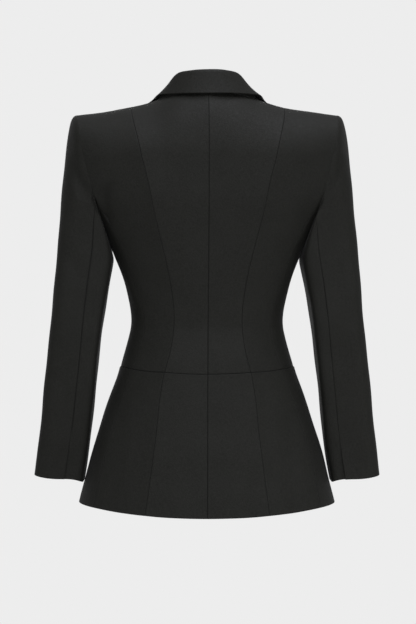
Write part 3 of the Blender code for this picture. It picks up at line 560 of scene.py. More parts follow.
@dataclass(frozen=True)
class Torso:
    """Outer face of the body, for an angle from 0 at the centre back to pi at the centre front, and a height.

    Each section is a superellipse. Above the turn it leans over to the shoulder line, as a quarter of another
    superellipse, so the height is a nominal one there and ends at 0 on the shoulder line.
    """

    back_turn_start: float = -98.0
    front_turn_start: float = -90.0
    back_squareness: float = 1.9
    front_squareness: float = 2.2
    back_roundness: float = 2.35
    front_roundness: float = 2.3
    corner_fade: float = 42.0
    corner_fade_outwards: float = 27.0

    def bare(self, angle: Array, height: Array) -> Array:
        """Points of the face without the corners that the seams press into it.

        Args:
            angle: Angles round the body.
            height: Nominal heights.

        Returns:
            Points, one for each pair.
        """
        angle, height = np.broadcast_arrays(np.asarray(angle, float), np.asarray(height, float))
        back = angle <= QUARTER
        half = {
            name: np.where(
                back, read(SECTIONS, f"back_{name}", height), read(SECTIONS, f"front_{name}", height)
            )
            for name in ("spread", "depth")
        }
        power = 2.0 / np.where(back, self.back_roundness, self.front_roundness)
        x = half["spread"] * np.sign(np.sin(angle)) * np.abs(np.sin(angle)) ** power
        y = half["depth"] * np.where(back, 1.0, -1.0) * np.abs(np.cos(angle)) ** power
        start = np.where(back, self.back_turn_start, self.front_turn_start)
        turn = clamped(1.0 - height / start) * QUARTER
        top = smooth(SHOULDER["across"], SHOULDER["height"], np.abs(x))
        lean = 2.0 / np.where(back, self.back_squareness, self.front_squareness)
        y = y * np.abs(np.cos(turn)) ** lean
        z = np.where(height > start, start + (top - start) * np.sin(turn) ** lean, height)
        return np.stack([x, y, z], axis=-1)

    def normal(self, angle: Array, height: Array) -> Array:
        """Unit normals of the bare face, pointing out, from small steps both ways.

        Args:
            angle: Angles round the body.
            height: Nominal heights.

        Returns:
            A normal for each pair.
        """
        turn_step, height_step = 1e-4, 0.05
        round_it = self.bare(angle + turn_step, height) - self.bare(angle - turn_step, height)
        lower = np.minimum(height, -height_step) - height_step
        up = self.bare(angle, np.minimum(height + height_step, 0.0)) - self.bare(angle, lower)
        return -unit(np.cross(round_it, up))

    def corner(self, angle: Array, height: Array) -> Array:
        """How far pressed seams push the cloth out.

        Each push fades exponentially to both sides, faster outwards, and the largest one holds.

        Args:
            angle: Angles round the body.
            height: Nominal heights.

        Returns:
            A distance for each pair.
        """
        x = self.bare(angle, height)[..., 0]
        back = angle <= QUARTER
        raised = np.zeros_like(x)
        for seam, size, at_back in (
            (BACK_PRINCESS, "princess", True),
            (SIDE_BACK_SEAM, "side_back", True),
            (FRONT_PRINCESS, "princess", False),
        ):
            beside = x - across(seam, height)
            fade = np.exp(np.minimum(beside / self.corner_fade, -beside / self.corner_fade_outwards))
            push = read(CORNERS, size, height) * fade
            raised = np.maximum(raised, np.where(back == at_back, push, 0.0))
        return raised

    def face(self, angle: Array, height: Array, lift: Array | float = 0.0) -> tuple[Array, Array]:
        """The pressed outer face.

        Args:
            angle: Angles round the body.
            height: Nominal heights.
            lift: How far the points are moved out.

        Returns:
            Points and unit normals.
        """
        normals = self.normal(angle, height)
        offset = np.asarray(self.corner(angle, height) + lift)[..., None]
        return self.bare(angle, height) + normals * offset, normals

    def face_at(self, place: Array, lift: Array | float = 0.0) -> tuple[Array, Array]:
        """The pressed outer face at pairs of an angle and a height."""
        return self.face(place[..., 0], place[..., 1], lift)

    def off_centre(self, x: Array, height: Array, half: str, roundness: float) -> Array:
        """Angles from the middle of the back or front half, for distances from the centre."""
        spread = read(SECTIONS, f"{half}_spread", height)
        return np.arcsin(clamped(x / spread) ** (roundness / 2))

    def back_line(self, x: Array, height: Array) -> Array:
        """Angles and heights of points of the back, from their distances to the centre."""
        return np.stack([self.off_centre(x, height, "back", self.back_roundness), height], axis=-1)

    def front_line(self, x: Array, height: Array) -> Array:
        """Angles and heights of points of the front, from their distances to the centre."""
        angle = math.pi - self.off_centre(x, height, "front", self.front_roundness)
        return np.stack([angle, height], axis=-1)

    def back_seam(self, seam: Table, height: Array) -> Array:
        """Angles and heights along a seam of the back."""
        return self.back_line(across(seam, height), height)

    def front_seam(self, seam: Table, height: Array) -> Array:
        """Angles and heights along a seam of the front."""
        return self.front_line(across(seam, height), height)


@dataclass(frozen=True)
class LevelCut:
    """A level cut round the body that dips at the centre back."""

    side_height: float
    dip: float
    power: float

    def line(self, angle: Array) -> Array:
        """Angles and heights along the cut: the dip goes with a power of the angle's cosine."""
        dip = self.dip * np.maximum(np.cos(angle), 0.0) ** self.power
        return np.stack([angle, self.side_height - dip], axis=-1)

    def span(self, start: float, end: float) -> Line:
        """The cut between two angles, by even steps of the angle."""
        return lambda share: self.line(between(start, end, share))

    def meets(self, seam: Table, place: SeamLine) -> float:
        """Height at which a seam meets the cut. Two passes are enough, since the cut is nearly flat.

        Args:
            seam: The seam.
            place: Gives its angles and heights.

        Returns:
            The height.
        """
        height = np.array(self.side_height)
        for _ in range(2):
            height = self.line(place(seam, height)[0])[1]
        return float(height)


@dataclass(frozen=True)
class Armhole:
    """The armhole's run, by a turn from 0 at the shoulder tip round the back to pi under the arm."""

    underarm: float = -234.0
    side_back_top: float = -174.0
    front_princess_top: float = -150.0

    def height(self, turn: Array) -> Array:
        """Nominal height at a turn: half of one less its cosine, of the way down."""
        return self.underarm * (1.0 - np.cos(turn)) / 2

    def turn(self, height: float) -> float:
        """Turn at a nominal height."""
        return math.acos(1.0 - 2.0 * height / self.underarm)

    @property
    def hind(self) -> float:
        """Turn at which the side back seam meets the armhole."""
        return self.turn(self.side_back_top)

    @property
    def fore(self) -> float:
        """Turn, counted the other way, at which the front princess seam meets the armhole."""
        return self.turn(self.front_princess_top)


@dataclass(frozen=True)
class EdgeShape:
    """How a piece of cloth ends.

    Its outer face rolls down by a quarter of an ellipse: roll is how wide that is and sink is its depth as a
    share of the cloth. Lift is how far the cloth stands off beside the seam and pucker is the height of the
    small waves that stitching draws up. Tuck is how far it goes on behind the next piece, as thin as the roll
    leaves it, so that no light comes through. A rounded edge is a free one, and rolls on its inner face too.
    """

    roll: float
    sink: float
    lift: float = 0.0
    pucker: float = 0.0
    tuck: float = 0.0
    rounded: bool = False

    FADE = 7.0
    WAVE = 19.0
    WANDER = 2.0
    WANDER_WAVES = 2.3
    # Distances of the grid's lines from the edge, in widths of the roll.
    LINES = (0.0, 0.1, 0.3, 0.62, 1.0, 2.0, 3.6)

    def places(self) -> Array:
        """Distances from the edge at which the grid has lines: first, below 0, the end of what is tucked."""
        lines = self.roll * np.array(self.LINES)
        return np.append(-self.tuck, lines) if self.tuck else lines

    def inside(self, distance: Array) -> Array:
        """How far into the roll a distance is, from 0 where it starts to 1 at the edge."""
        return 1.0 - clamped(distance / self.roll)

    def rolled(self, distance: Array) -> Array:
        """Depth of the roll at a distance, as a share of the cloth."""
        return self.sink * (1.0 - np.sqrt(1.0 - self.inside(distance) ** 2))

    def painted_seam_shade(self, distance: Array) -> Array:
        """How much painted shade a distance gets: how far into the hollow beside the seam it is. A free edge
        has no seam.
        """
        return np.zeros_like(distance) if self.rounded else self.inside(distance)

    def stands(self, distance: Array, place: Array) -> Array:
        """How far the cloth stands off, at a distance from the edge and a place along it.

        Args:
            distance: Distances from the edge.
            place: Places along it.

        Returns:
            A distance for each.
        """
        wander = self.WANDER * np.sin(place / (self.WANDER_WAVES * self.WAVE))
        wave = np.sin(FULL_TURN * place / self.WAVE + wander)
        return (self.lift + self.pucker * wave) * np.exp(-distance / self.FADE)


class EdgeKind(Enum):
    """The ways in which this jacket's pieces end."""

    SEAM = EdgeShape(roll=1.2, sink=0.55, pucker=0.10)
    LAPS_OVER = EdgeShape(roll=1.2, sink=0.55, lift=0.35, pucker=0.10)
    LAPS_UNDER = EdgeShape(roll=1.4, sink=0.80, lift=-0.40, pucker=0.10, tuck=3.0)
    HEM = EdgeShape(roll=0.9, sink=0.42, rounded=True)
    WAIST_ABOVE = EdgeShape(roll=1.6, sink=0.85, lift=-0.7, pucker=0.12, tuck=4.0)
    WAIST_BELOW = EdgeShape(roll=1.5, sink=0.6, lift=0.6, pucker=0.12)


@dataclass(frozen=True)
class Crease:
    """A soft trough with a lower ridge beside it, drawn as one looks at the back or the front.

    Its depth fades from its middle to both ends as a power of a sine, and across it as a bell curve. A
    negative depth is a ridge. Its middle bows to one side as a parabola. Places are heights and distances
    from the centre, wearer's left positive.
    """

    start: tuple[float, float]
    end: tuple[float, float]
    width: float
    depth: float
    bow: float = 0.0
    facing: Facing = Facing.BACK

    RIDGE_SHARE = 0.35
    RIDGE_PLACE = 1.8
    END_POWER = 0.8
    FACING_GAIN = 2.0

    def push(self, points: Array, normals: Array) -> Array:
        """How far the crease moves points out.

        Args:
            points: Points of the cloth.
            normals: Their unit normals.

        Returns:
            A distance for each point.
        """
        start, end = np.array(self.start), np.array(self.end)
        length = np.linalg.norm(end - start)
        way = (end - start) / length
        seen = points[..., [0, 2]] - start
        along = (seen @ way) / length
        beside = seen @ np.array([-way[1], way[0]]) - self.bow * 4.0 * along * (1.0 - along)
        beside = beside / self.width
        bell = np.exp(-(beside**2)) - self.RIDGE_SHARE * np.exp(-((beside - self.RIDGE_PLACE) ** 2))
        faces = clamped(self.FACING_GAIN * self.facing.value * normals[..., 1])
        return -self.depth * bell * np.sin(math.pi * clamped(along)) ** self.END_POWER * faces


# Creases by the piece that has them, placed from the back view, with quiet ones like them in front.
CREASES: dict[str, tuple[Crease, ...]] = {
    "top_sleeve_left": (
        Crease((216, -92), (184, -168), 8.0, 4.2, bow=4.0),
        Crease((232, -236), (196, -300), 13.0, 1.6, bow=-5.0),
        Crease((236, -430), (222, -520), 12.0, 0.7),
        Crease((206, -110), (180, -170), 10.0, 1.2, facing=Facing.FRONT),
        Crease((214, -300), (196, -352), 11.0, 1.0, facing=Facing.FRONT),
    ),
    "top_sleeve_right": (
        Crease((-212, -92), (-196, -152), 8.0, 3.0, bow=-3.0),
        Crease((-206, -262), (-228, -372), 14.0, 1.8, bow=5.0),
        Crease((-224, -400), (-238, -500), 12.0, 0.8),
        Crease((-205, -116), (-182, -176), 10.0, 1.1, facing=Facing.FRONT),
        Crease((-212, -310), (-196, -366), 11.0, 1.2, facing=Facing.FRONT),
    ),
    "under_sleeve_left": (Crease((192, -300), (176, -372), 9.0, 0.8),),
    "under_sleeve_right": (
        Crease((-186, -318), (-172, -352), 8.0, 1.0),
        Crease((-196, -372), (-184, -424), 9.0, 0.9),
    ),
    "side_back_left": (
        Crease((148, -134), (174, -176), 8.0, 4.6, bow=4.0),
        Crease((160, -150), (162, -232), 9.0, 2.6),
    ),
    "side_back_right": (Crease((-150, -160), (-156, -226), 12.0, 1.3),),
    "side_front_left": (Crease((130, -276), (108, -338), 5.0, -1.8),),
    "peplum_side_back_left": (Crease((112, -440), (134, -840), 13.0, -1.5),),
    "peplum_side_back_right": (
        Crease((-104, -440), (-122, -840), 12.0, -1.2),
        Crease((-122, -450), (-152, -850), 9.0, 0.9),
    ),
    "peplum_side_front_left": (Crease((150, -450), (205, -850), 14.0, -1.3),),
    "peplum_side_front_right": (Crease((-146, -450), (-196, -850), 13.0, -1.1),),
    "peplum_back_left": (Crease((36, -470), (44, -830), 20.0, -0.8),),
    "peplum_back_right": (Crease((-30, -460), (-38, -840), 20.0, -0.7),),
    "peplum_front_left": (Crease((52, -440), (70, -840), 16.0, -1.2, facing=Facing.FRONT),),
    "peplum_front_right": (Crease((-48, -440), (-62, -840), 16.0, -1.1, facing=Facing.FRONT),),
    "front_left": (Crease((120, -176), (62, -214), 11.0, 0.8, bow=4.0, facing=Facing.FRONT),),
    "front_right": (Crease((-124, -180), (-66, -222), 11.0, 0.7, bow=-4.0, facing=Facing.FRONT),),
}


@dataclass(frozen=True)
class Drape:
    """What takes the cloth off its plain form: listed creases, and a slow unevenness all over."""

    swell: float = 0.28

    # Three slow waves: how far X, Y and Z go in one radian of each, and where each starts.
    WAVES = (
        (17.0, math.inf, 29.0, 0.0),
        (math.inf, -19.0, 13.0, 1.3),
        (11.5, math.inf, -31.0, 2.1),
    )

    def push(self, node: str, points: Array, normals: Array) -> Array:
        """How far cloth is moved out.

        The unevenness is a sum of three sines along different ways, about 70 to 90 mm long.

        Args:
            node: Name of the piece.
            points: Its points.
            normals: Their unit normals.

        Returns:
            A distance for each point.
        """
        x, y, z = np.moveaxis(points, -1, 0)
        waves = (np.sin(x / by_x + y / by_y + z / by_z + start) for by_x, by_y, by_z, start in self.WAVES)
        moved = self.swell * sum(waves)
        for crease in CREASES.get(node, ()):
            moved = moved + crease.push(points, normals)
        return moved


@dataclass(frozen=True)
class Layout:
    """Grid on which a piece is drawn: shares across and along it, with its rows' and columns' lengths."""

    across: Array
    along: Array
    u: Array
    v: Array
    width: Array
    length: Array

    def edges(self) -> Iterator[tuple[Array, Array]]:
        """Distance from the left, right, foot and head edge, and the place along that edge.

        Yields:
            Both, for each edge in turn.
        """
        yield self.across * self.width, self.along * self.length
        yield (1.0 - self.across) * self.width, self.along * self.length
        yield self.along * self.length, self.across * self.width
        yield (1.0 - self.along) * self.length, self.across * self.width

    def grain(self) -> Array:
        """Map of the flat cloth in metres, from the middle of the piece across and its foot along."""
        return np.stack([(self.across - 0.5) * self.width, self.along * self.length], axis=-1) * MM


def grid_lines(length: Array, first: EdgeShape, last: EdgeShape, spacing_count: int) -> Array:
    """Shares at which a piece has grid lines: at set distances from both edges, and evenly between.

    Args:
        length: Length of each line that is divided.
        first: Edge at its start.
        last: Edge at its end.
        spacing_count: How many even steps lie between.

    Returns:
        A row of rising shares for each line.
    """
    length = np.asarray(length, float)[:, None]
    near, far = first.places(), last.places()
    fits = np.minimum(1.0, MOST_BESIDE_EDGE * length / max(near[-1], far[-1]))
    low, high = near * fits / length, 1.0 - far[::-1] * fits / length
    middle = between(low[:, -1:], high[:, :1], run(0.0, 1.0, spacing_count)[1:-1])
    return np.concatenate([low, middle, high], axis=1)


def carried_on(shares: Array, travelled_at: Array, even: Array) -> Array:
    """Even shares for shares of the way travelled, which go straight on below 0, where cloth is tucked."""
    return np.interp(shares, travelled_at, even) + np.minimum(shares, 0.0) * even[1] / travelled_at[1]


@dataclass(frozen=True)
class Cut:
    """One cut piece of cloth: its face by shares across and along it, and how its four edges end.

    The face is given for the left half or, for a piece that crosses the centre, whole.
    """

    node: str
    face: Face
    left: EdgeKind
    right: EdgeKind
    foot: EdgeKind
    head: EdgeKind
    thickness: float
    hold: Hold = Hold.HUNG
    spacing: float = 4.0

    SURVEY_STEPS = 60
    FEWEST_STEPS = 3

    def layout(self) -> Layout:
        """Lays the grid out by real distances on the face, surveyed on an even one first.

        Returns:
            The grid.
        """
        even = run(0.0, 1.0, self.SURVEY_STEPS)
        points, _ = self.face(*np.meshgrid(even, even))
        crosswise = np.linalg.norm(np.diff(points, axis=1), axis=-1)
        lengthwise = np.linalg.norm(np.diff(points, axis=0), axis=-1)
        width, length = crosswise.sum(axis=1), lengthwise.sum(axis=0)
        across_at, along_at = travelled(crosswise.mean(axis=0)), travelled(lengthwise.mean(axis=1))
        sides, ends = (self.left.value, self.right.value), (self.foot.value, self.head.value)
        columns, rows = (
            max(math.ceil(size.max() / self.spacing), self.FEWEST_STEPS) for size in (width, length)
        )
        row_places = grid_lines(length.mean(keepdims=True), *ends, rows)[0]
        column_places = grid_lines(width.mean(keepdims=True), *sides, columns)[0]
        row_widths = np.interp(row_places, along_at, width)
        column_lengths = np.interp(column_places, across_at, length)
        across_shares = grid_lines(row_widths, *sides, columns)
        along_shares = grid_lines(column_lengths, *ends, rows).T
        return Layout(
            across_shares,
            along_shares,
            carried_on(across_shares, across_at, even),
            carried_on(along_shares, along_at, even),
            row_widths[:, None],
            column_lengths[None, :],
        )


def quads(rows: int, columns: int, round_rows: bool = False, round_columns: bool = False) -> Array:
    """Faces of a grid of points.

    Args:
        rows: Rows of points.
        columns: Points in a row.
        round_rows: Whether the last row joins the first.
        round_columns: Whether the last column joins the first.

    Returns:
        Four point numbers for each face.
    """
    index = np.arange(rows * columns).reshape(rows, columns)
    index = np.concatenate([index, index[:1]]) if round_rows else index
    index = np.concatenate([index, index[:, :1]], axis=1) if round_columns else index
    corners = (index[:-1, :-1], index[:-1, 1:], index[1:, 1:], index[1:, :-1])
    return np.stack(corners, axis=-1).reshape(-1, 4)


def shell_quads(rows: int, columns: int) -> Array:
    """Faces of a closed wall: an outer grid, an inner grid and the four edges between them.

    Args:
        rows: Rows of points in each grid.
        columns: Points in a row.

    Returns:
        Four point numbers for each face, the inner grid's points following the outer grid's.
    """
    count = rows * columns
    index = np.arange(count).reshape(rows, columns)
    outer = quads(rows, columns)
    rim = np.concatenate([index[0, :-1], index[:-1, -1], index[-1, :0:-1], index[:0:-1, 0]])
    after = np.roll(rim, -1)
    wall = np.stack([after, rim, rim + count, after + count], axis=-1)
    return np.concatenate([outer, outer[:, ::-1] + count, wall])


def placed(name: str, data: bpy.types.ID) -> Piece:
    """A new object for some data, linked to the scene.

    Args:
        name: The object's name.
        data: What it shows.

    Returns:
        The object.
    """
    made = bpy.data.objects.new(name, data)
    bpy.context.scene.collection.objects.link(made)
    return made


def new_piece(name: str, points: Array, faces: Array, grain: Array, caps: tuple[Array, ...] = ()) -> Piece:
    """Makes an object at the origin from arrays.

    Args:
        name: The piece's name.
        points: Points in millimetres.
        faces: Four point numbers for each face.
        grain: A map coordinate for each point.
        caps: Point numbers of faces with more corners.

    Returns:
        The object, smooth shaded and linked to the scene.
    """
    corners = np.concatenate([faces.ravel(), *caps]).astype(np.int32)
    sizes = np.concatenate([np.full(len(faces), 4), [len(cap) for cap in caps]]).astype(np.int32)
    mesh = bpy.data.meshes.new(name)
    mesh.vertices.add(len(points))
    mesh.vertices.foreach_set("co", (points * MM).astype(np.float32).ravel())
    mesh.loops.add(len(corners))
    mesh.loops.foreach_set("vertex_index", corners)
    mesh.polygons.add(len(sizes))
    mesh.polygons.foreach_set("loop_start", (np.cumsum(sizes) - sizes).astype(np.int32))
    mesh.update(calc_edges=True)
    layer = mesh.uv_layers.new(name=UV_NAME)
    layer.data.foreach_set("uv", grain[corners].astype(np.float32).ravel())
    mesh.shade_smooth()
    mesh.validate()
    return placed(name, mesh)


def dressed(piece: Piece, material: Material, slot: str, *nodes: str) -> Piece:
    """Gives a piece its finish and its place in the part.

    Args:
        piece: The new piece.
        material: Its finish.
        slot: The record's slot for that finish. Not used.
        nodes: Solids that it stands for.

    Returns:
        The piece.
    """
    piece.data.materials.append(material)
    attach(piece, BODY)
    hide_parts(*nodes)
    return piece


@dataclass(frozen=True)
class Tailor:
    cloth: Material
    drape: Drape

    def sew(self, cut: Cut, side: Side = Side.LEFT, whole: bool = False) -> Piece:
        """Makes one piece.

        The outer face is the draped face, less the roll of its edges. The inner face lies one thickness
        below. The side's sign moves the puckers along, so left and right differ.

        Args:
            cut: The piece.
            side: Half of the jacket that it is for.
            whole: Whether it crosses the centre, and so has no side in its name.

        Returns:
            The finished piece.
        """
        node = cut.node if whole else side.named(cut.node)
        layout = cut.layout()
        points, normals = (on_side(item, side) for item in cut.face(layout.u, layout.v))
        stands = self.drape.push(node, points, normals)
        outer_roll, inner_roll, painted_seam_shade = (np.zeros_like(stands) for _ in range(3))
        for kind, (distance, place) in zip((cut.left, cut.right, cut.foot, cut.head), layout.edges()):
            shape = kind.value
            stands = stands + shape.stands(distance, place + side.value)
            rolled = shape.rolled(distance)
            outer_roll = np.maximum(outer_roll, rolled)
            inner_roll = np.maximum(inner_roll, rolled if shape.rounded else 0.0)
            painted_seam_shade = np.maximum(painted_seam_shade, shape.painted_seam_shade(distance))
        outer = hung(points + normals * (stands - outer_roll * cut.thickness)[..., None])
        inner = hung(points + normals * (stands - (1.0 - inner_roll) * cut.thickness)[..., None])
        faces = shell_quads(*outer.shape[:2])
        corner = unit(np.cross(np.diff(outer, axis=1)[1:], np.diff(outer, axis=0)[:, 1:]))
        if np.sum(corner * normals[1:, 1:]) < 0.0:
            faces = faces[:, ::-1]
        grain = layout.grain().reshape(-1, 2)
        piece = new_piece(
            f"{node}_cloth",
            np.concatenate([outer.reshape(-1, 3), inner.reshape(-1, 3)]),
            faces,
            np.concatenate([grain, grain]),
        )
        # Painted shade beside the seams, kept on the points of the outer face as a mask for the cloth's
        # colour.
        painted_seam_shades = np.concatenate([painted_seam_shade.ravel(), np.zeros(painted_seam_shade.size)]).astype(np.float32)
        piece.data.attributes.new(SEAM_SHADE_NAME, "FLOAT", "POINT").data.foreach_set("value", painted_seam_shades)
        dressed(piece, self.cloth, "wool", node)
        self.declare(piece, cut, layout, outer)
        return piece

    def declare(self, piece: Piece, cut: Cut, layout: Layout, outer: Array) -> None:
        """Says what size the piece was cut to, from its widest row, its longest column and its area.

        Args:
            piece: The finished piece.
            cut: What it was cut as. Not used.
            layout: Its grid.
            outer: Its outer face.
        """
        flat = (float(layout.width.max()) * MM, float(layout.length.max()) * MM)
        diagonals = np.cross(outer[1:, 1:] - outer[:-1, :-1], outer[1:, :-1] - outer[:-1, 1:])
        area = float(np.linalg.norm(diagonals, axis=-1).sum()) / 2 * MM**2
        sizes = (flat[0] / MM, flat[1] / MM, area / SQUARE_CM)
        log.info("%s: cut %.0f by %.0f mm, %.0f square cm", piece.name, *sizes)


@dataclass(frozen=True)
class Edges:
    """Four edges of a body panel, as angles and heights by a share along each."""

    left: Line
    right: Line
    foot: Line
    head: Line

    def fill(self, u: Array, v: Array) -> Array:
        """Fills them: both blends of opposite edges, less the blend of the four corners.

        Args:
            u: Shares from left to right.
            v: Shares from foot to head.

        Returns:
            Angles and heights.
        """
        ends = np.array([0.0, 1.0])
        (low_left, low_right), (high_left, high_right) = self.foot(ends), self.head(ends)
        left, right, foot, head = self.left(v), self.right(v), self.foot(u), self.head(u)
        u, v = u[..., None], v[..., None]
        low, high = (1 - u) * low_left + u * low_right, (1 - u) * high_left + u * high_right
        corners = (1 - v) * low + v * high
        return (1 - u) * left + u * right + (1 - v) * foot + v * head - corners

    def on(self, torso: Torso) -> Face:
        """The face that they bound on the torso, by shares across and along it."""
        return lambda u, v: torso.face_at(self.fill(u, v))


@dataclass(frozen=True)
class Bodice:
    """Panels above the waist seam: back, side back, side front and front, on both sides."""

    torso: Torso
    armhole: Armhole
    waist: LevelCut
    thickness: float = 1.8
    side_neck: float = 80.0
    back_neck_drop: float = 40.0
    neck_share: float = 5 / 8
    front_edge: float = 4.0
    break_height: float = -256.0
    gorge: tuple[float, float] = (60.0, -62.0)
    setback: float = 4.0
    lapel_foot: float = 0.03
    closed_share: float = 6 / 16
    rolled_share: float = 7 / 16

    def level(self, left: Line, right: Line) -> Line:
        """The waist seam between two edges' feet, by even angles."""
        start, end = (float(edge(np.zeros(1))[0, 0]) for edge in (left, right))
        return self.waist.span(start, end)

    def beside(self, share: Array, lowest: float) -> Array:
        """Heights beside the armhole, by even turns round it, for the upper half of an edge."""
        return self.armhole.height(self.armhole.turn(lowest) * clamped(2.0 - 2.0 * share))

    def seam_height(self, share: Array, foot: float, top: float) -> Array:
        """Heights of a back panel's edge: even below the armhole, then by even turns beside it.

        Args:
            share: Shares along the edge.
            foot: Height of its foot.
            top: Height of its top.

        Returns:
            A height for each share.
        """
        fork = self.armhole.side_back_top
        upper = top + (fork - top) * self.beside(share, fork) / fork
        return np.where(share < 0.5, between(foot, fork, 2.0 * share), upper)

    def centre_back(self, share: Array) -> Array:
        """The centre back seam, from the waist seam to the neck."""
        height = self.seam_height(share, self.waist.side_height - self.waist.dip, -self.back_neck_drop)
        return self.torso.back_line(np.zeros_like(height), height)

    def back_princess(self, share: Array) -> Array:
        """The back princess seam, from the waist seam to the shoulder."""
        height = self.seam_height(share, self.waist.meets(BACK_PRINCESS, self.torso.back_seam), 0.0)
        return self.torso.back_seam(BACK_PRINCESS, height)

    def side_back(self, share: Array) -> Array:
        """The side back seam, from the waist seam to the armhole."""
        foot = self.waist.meets(SIDE_BACK_SEAM, self.torso.back_seam)
        return self.torso.back_seam(SIDE_BACK_SEAM, between(foot, self.armhole.side_back_top, share))

    def front_princess(self, share: Array) -> Array:
        """The front princess seam, from the waist seam to the armhole."""
        height = between(self.waist.side_height, self.armhole.front_princess_top, share)
        return self.torso.front_seam(FRONT_PRINCESS, height)

    def side_back_and_armhole(self, share: Array) -> Array:
        """The side back seam, then the back of the armhole up to the shoulder."""
        upper = self.torso.back_seam(BACK_ARMHOLE, self.beside(share, self.armhole.side_back_top))
        return np.where((share < 0.5)[..., None], self.side_back(2.0 * share), upper)

    def front_princess_and_armhole(self, share: Array) -> Array:
        """The front princess seam, then the front of the armhole up to the shoulder."""
        upper = self.torso.front_seam(FRONT_ARMHOLE, self.beside(share, self.armhole.front_princess_top))
        return np.where((share < 0.5)[..., None], self.front_princess(2.0 * share), upper)

    def underarm(self, share: Array) -> Array:
        """The foot of the armhole, from the side back seam under the arm to the front princess seam.

        Args:
            share: Shares along it.

        Returns:
            Angles and heights.
        """
        back = self.armhole.height(between(self.armhole.hind, math.pi, np.minimum(2.0 * share, 1.0)))
        front = self.armhole.height(between(math.pi, self.armhole.fore, clamped(2.0 * share - 1.0)))
        hind, fore = self.torso.back_seam(BACK_ARMHOLE, back), self.torso.front_seam(FRONT_ARMHOLE, front)
        return np.where((share < 0.5)[..., None], hind, fore)

    def back_neck(self, share: Array) -> Array:
        """The back neck, as a quarter of an ellipse, then the shoulder out to the princess seam.

        Args:
            share: Shares along it.

        Returns:
            Angles and heights.
        """
        turned = clamped(share / self.neck_share) * QUARTER
        out = past(share, self.neck_share)
        reach = across(BACK_PRINCESS, 0.0) - self.side_neck
        x = self.side_neck * np.sin(turned) + reach * out
        return self.torso.back_line(x, -self.back_neck_drop * np.cos(turned))

    def back_shoulder(self, share: Array) -> Array:
        """The shoulder from the princess seam out to the armhole."""
        inner, outer = across(BACK_PRINCESS, 0.0), across(BACK_ARMHOLE, 0.0)
        return self.torso.back_line(between(inner, outer, share), np.zeros_like(share))

    def front_shoulder(self, share: Array) -> Array:
        """The shoulder from the armhole in to the neck."""
        outer = across(FRONT_ARMHOLE, 0.0)
        return self.torso.front_line(between(outer, self.side_neck, share), np.zeros_like(share))

    def roll(self, share: Array) -> tuple[Array, Array]:
        """Straight line on which the lapel turns back: distances from the centre, and heights."""
        x, height = self.gorge
        return between(self.front_edge, x, share), between(self.break_height, height, share)

    def front_opening(self, share: Array) -> Array:
        """The closed front edge, then the edge under the lapel's roll, then the neck up to the shoulder.

        Args:
            share: Shares along it.

        Returns:
            Angles and heights.
        """
        closed = np.minimum(share / self.closed_share, 1.0)
        rolled = clamped((share - self.closed_share) / self.rolled_share)
        neck_start = self.closed_share + self.rolled_share
        neck = past(share, neck_start)
        x, height = self.roll(rolled)
        x = x + self.setback * clamped(rolled / self.lapel_foot)
        x = x + (self.side_neck - self.gorge[0] - self.setback) * neck
        height = height - self.gorge[1] * neck
        height = height + (self.waist.side_height - self.break_height) * (1.0 - closed)
        return self.torso.front_line(x, height)

    def panel(self, node: str, edges: Edges, left: EdgeKind, right: EdgeKind) -> Cut:
        """A panel on the torso between four edges, seamed at its foot to the waist and at its head."""
        ends = (EdgeKind.WAIST_ABOVE, EdgeKind.SEAM)
        return Cut(node, edges.on(self.torso), left, right, *ends, self.thickness)

    def cuts(self) -> list[Cut]:
        """The four panels of one side.

        Returns:
            The panels, from the centre back to the front.
        """
        back = (self.centre_back, self.back_princess)
        side_back = (self.back_princess, self.side_back_and_armhole)
        side_front = (self.side_back, self.front_princess)
        front = (self.front_princess_and_armhole, self.front_opening)
        parts = (
            ("back", back, self.back_neck, EdgeKind.SEAM, EdgeKind.SEAM),
            ("side_back", side_back, self.back_shoulder, EdgeKind.SEAM, EdgeKind.LAPS_OVER),
            ("side_front", side_front, self.underarm, EdgeKind.LAPS_UNDER, EdgeKind.SEAM),
            ("front", front, self.front_shoulder, EdgeKind.SEAM, EdgeKind.HEM),
        )
        return [
            self.panel(node, Edges(*sides, self.level(*sides), head), *kinds)
            for node, sides, head, *kinds in parts
        ]

    def build(self, tailor: Tailor) -> list[Piece]:
        """Sews the panels of both sides."""
        return [tailor.sew(cut, side) for cut in self.cuts() for side in Side]


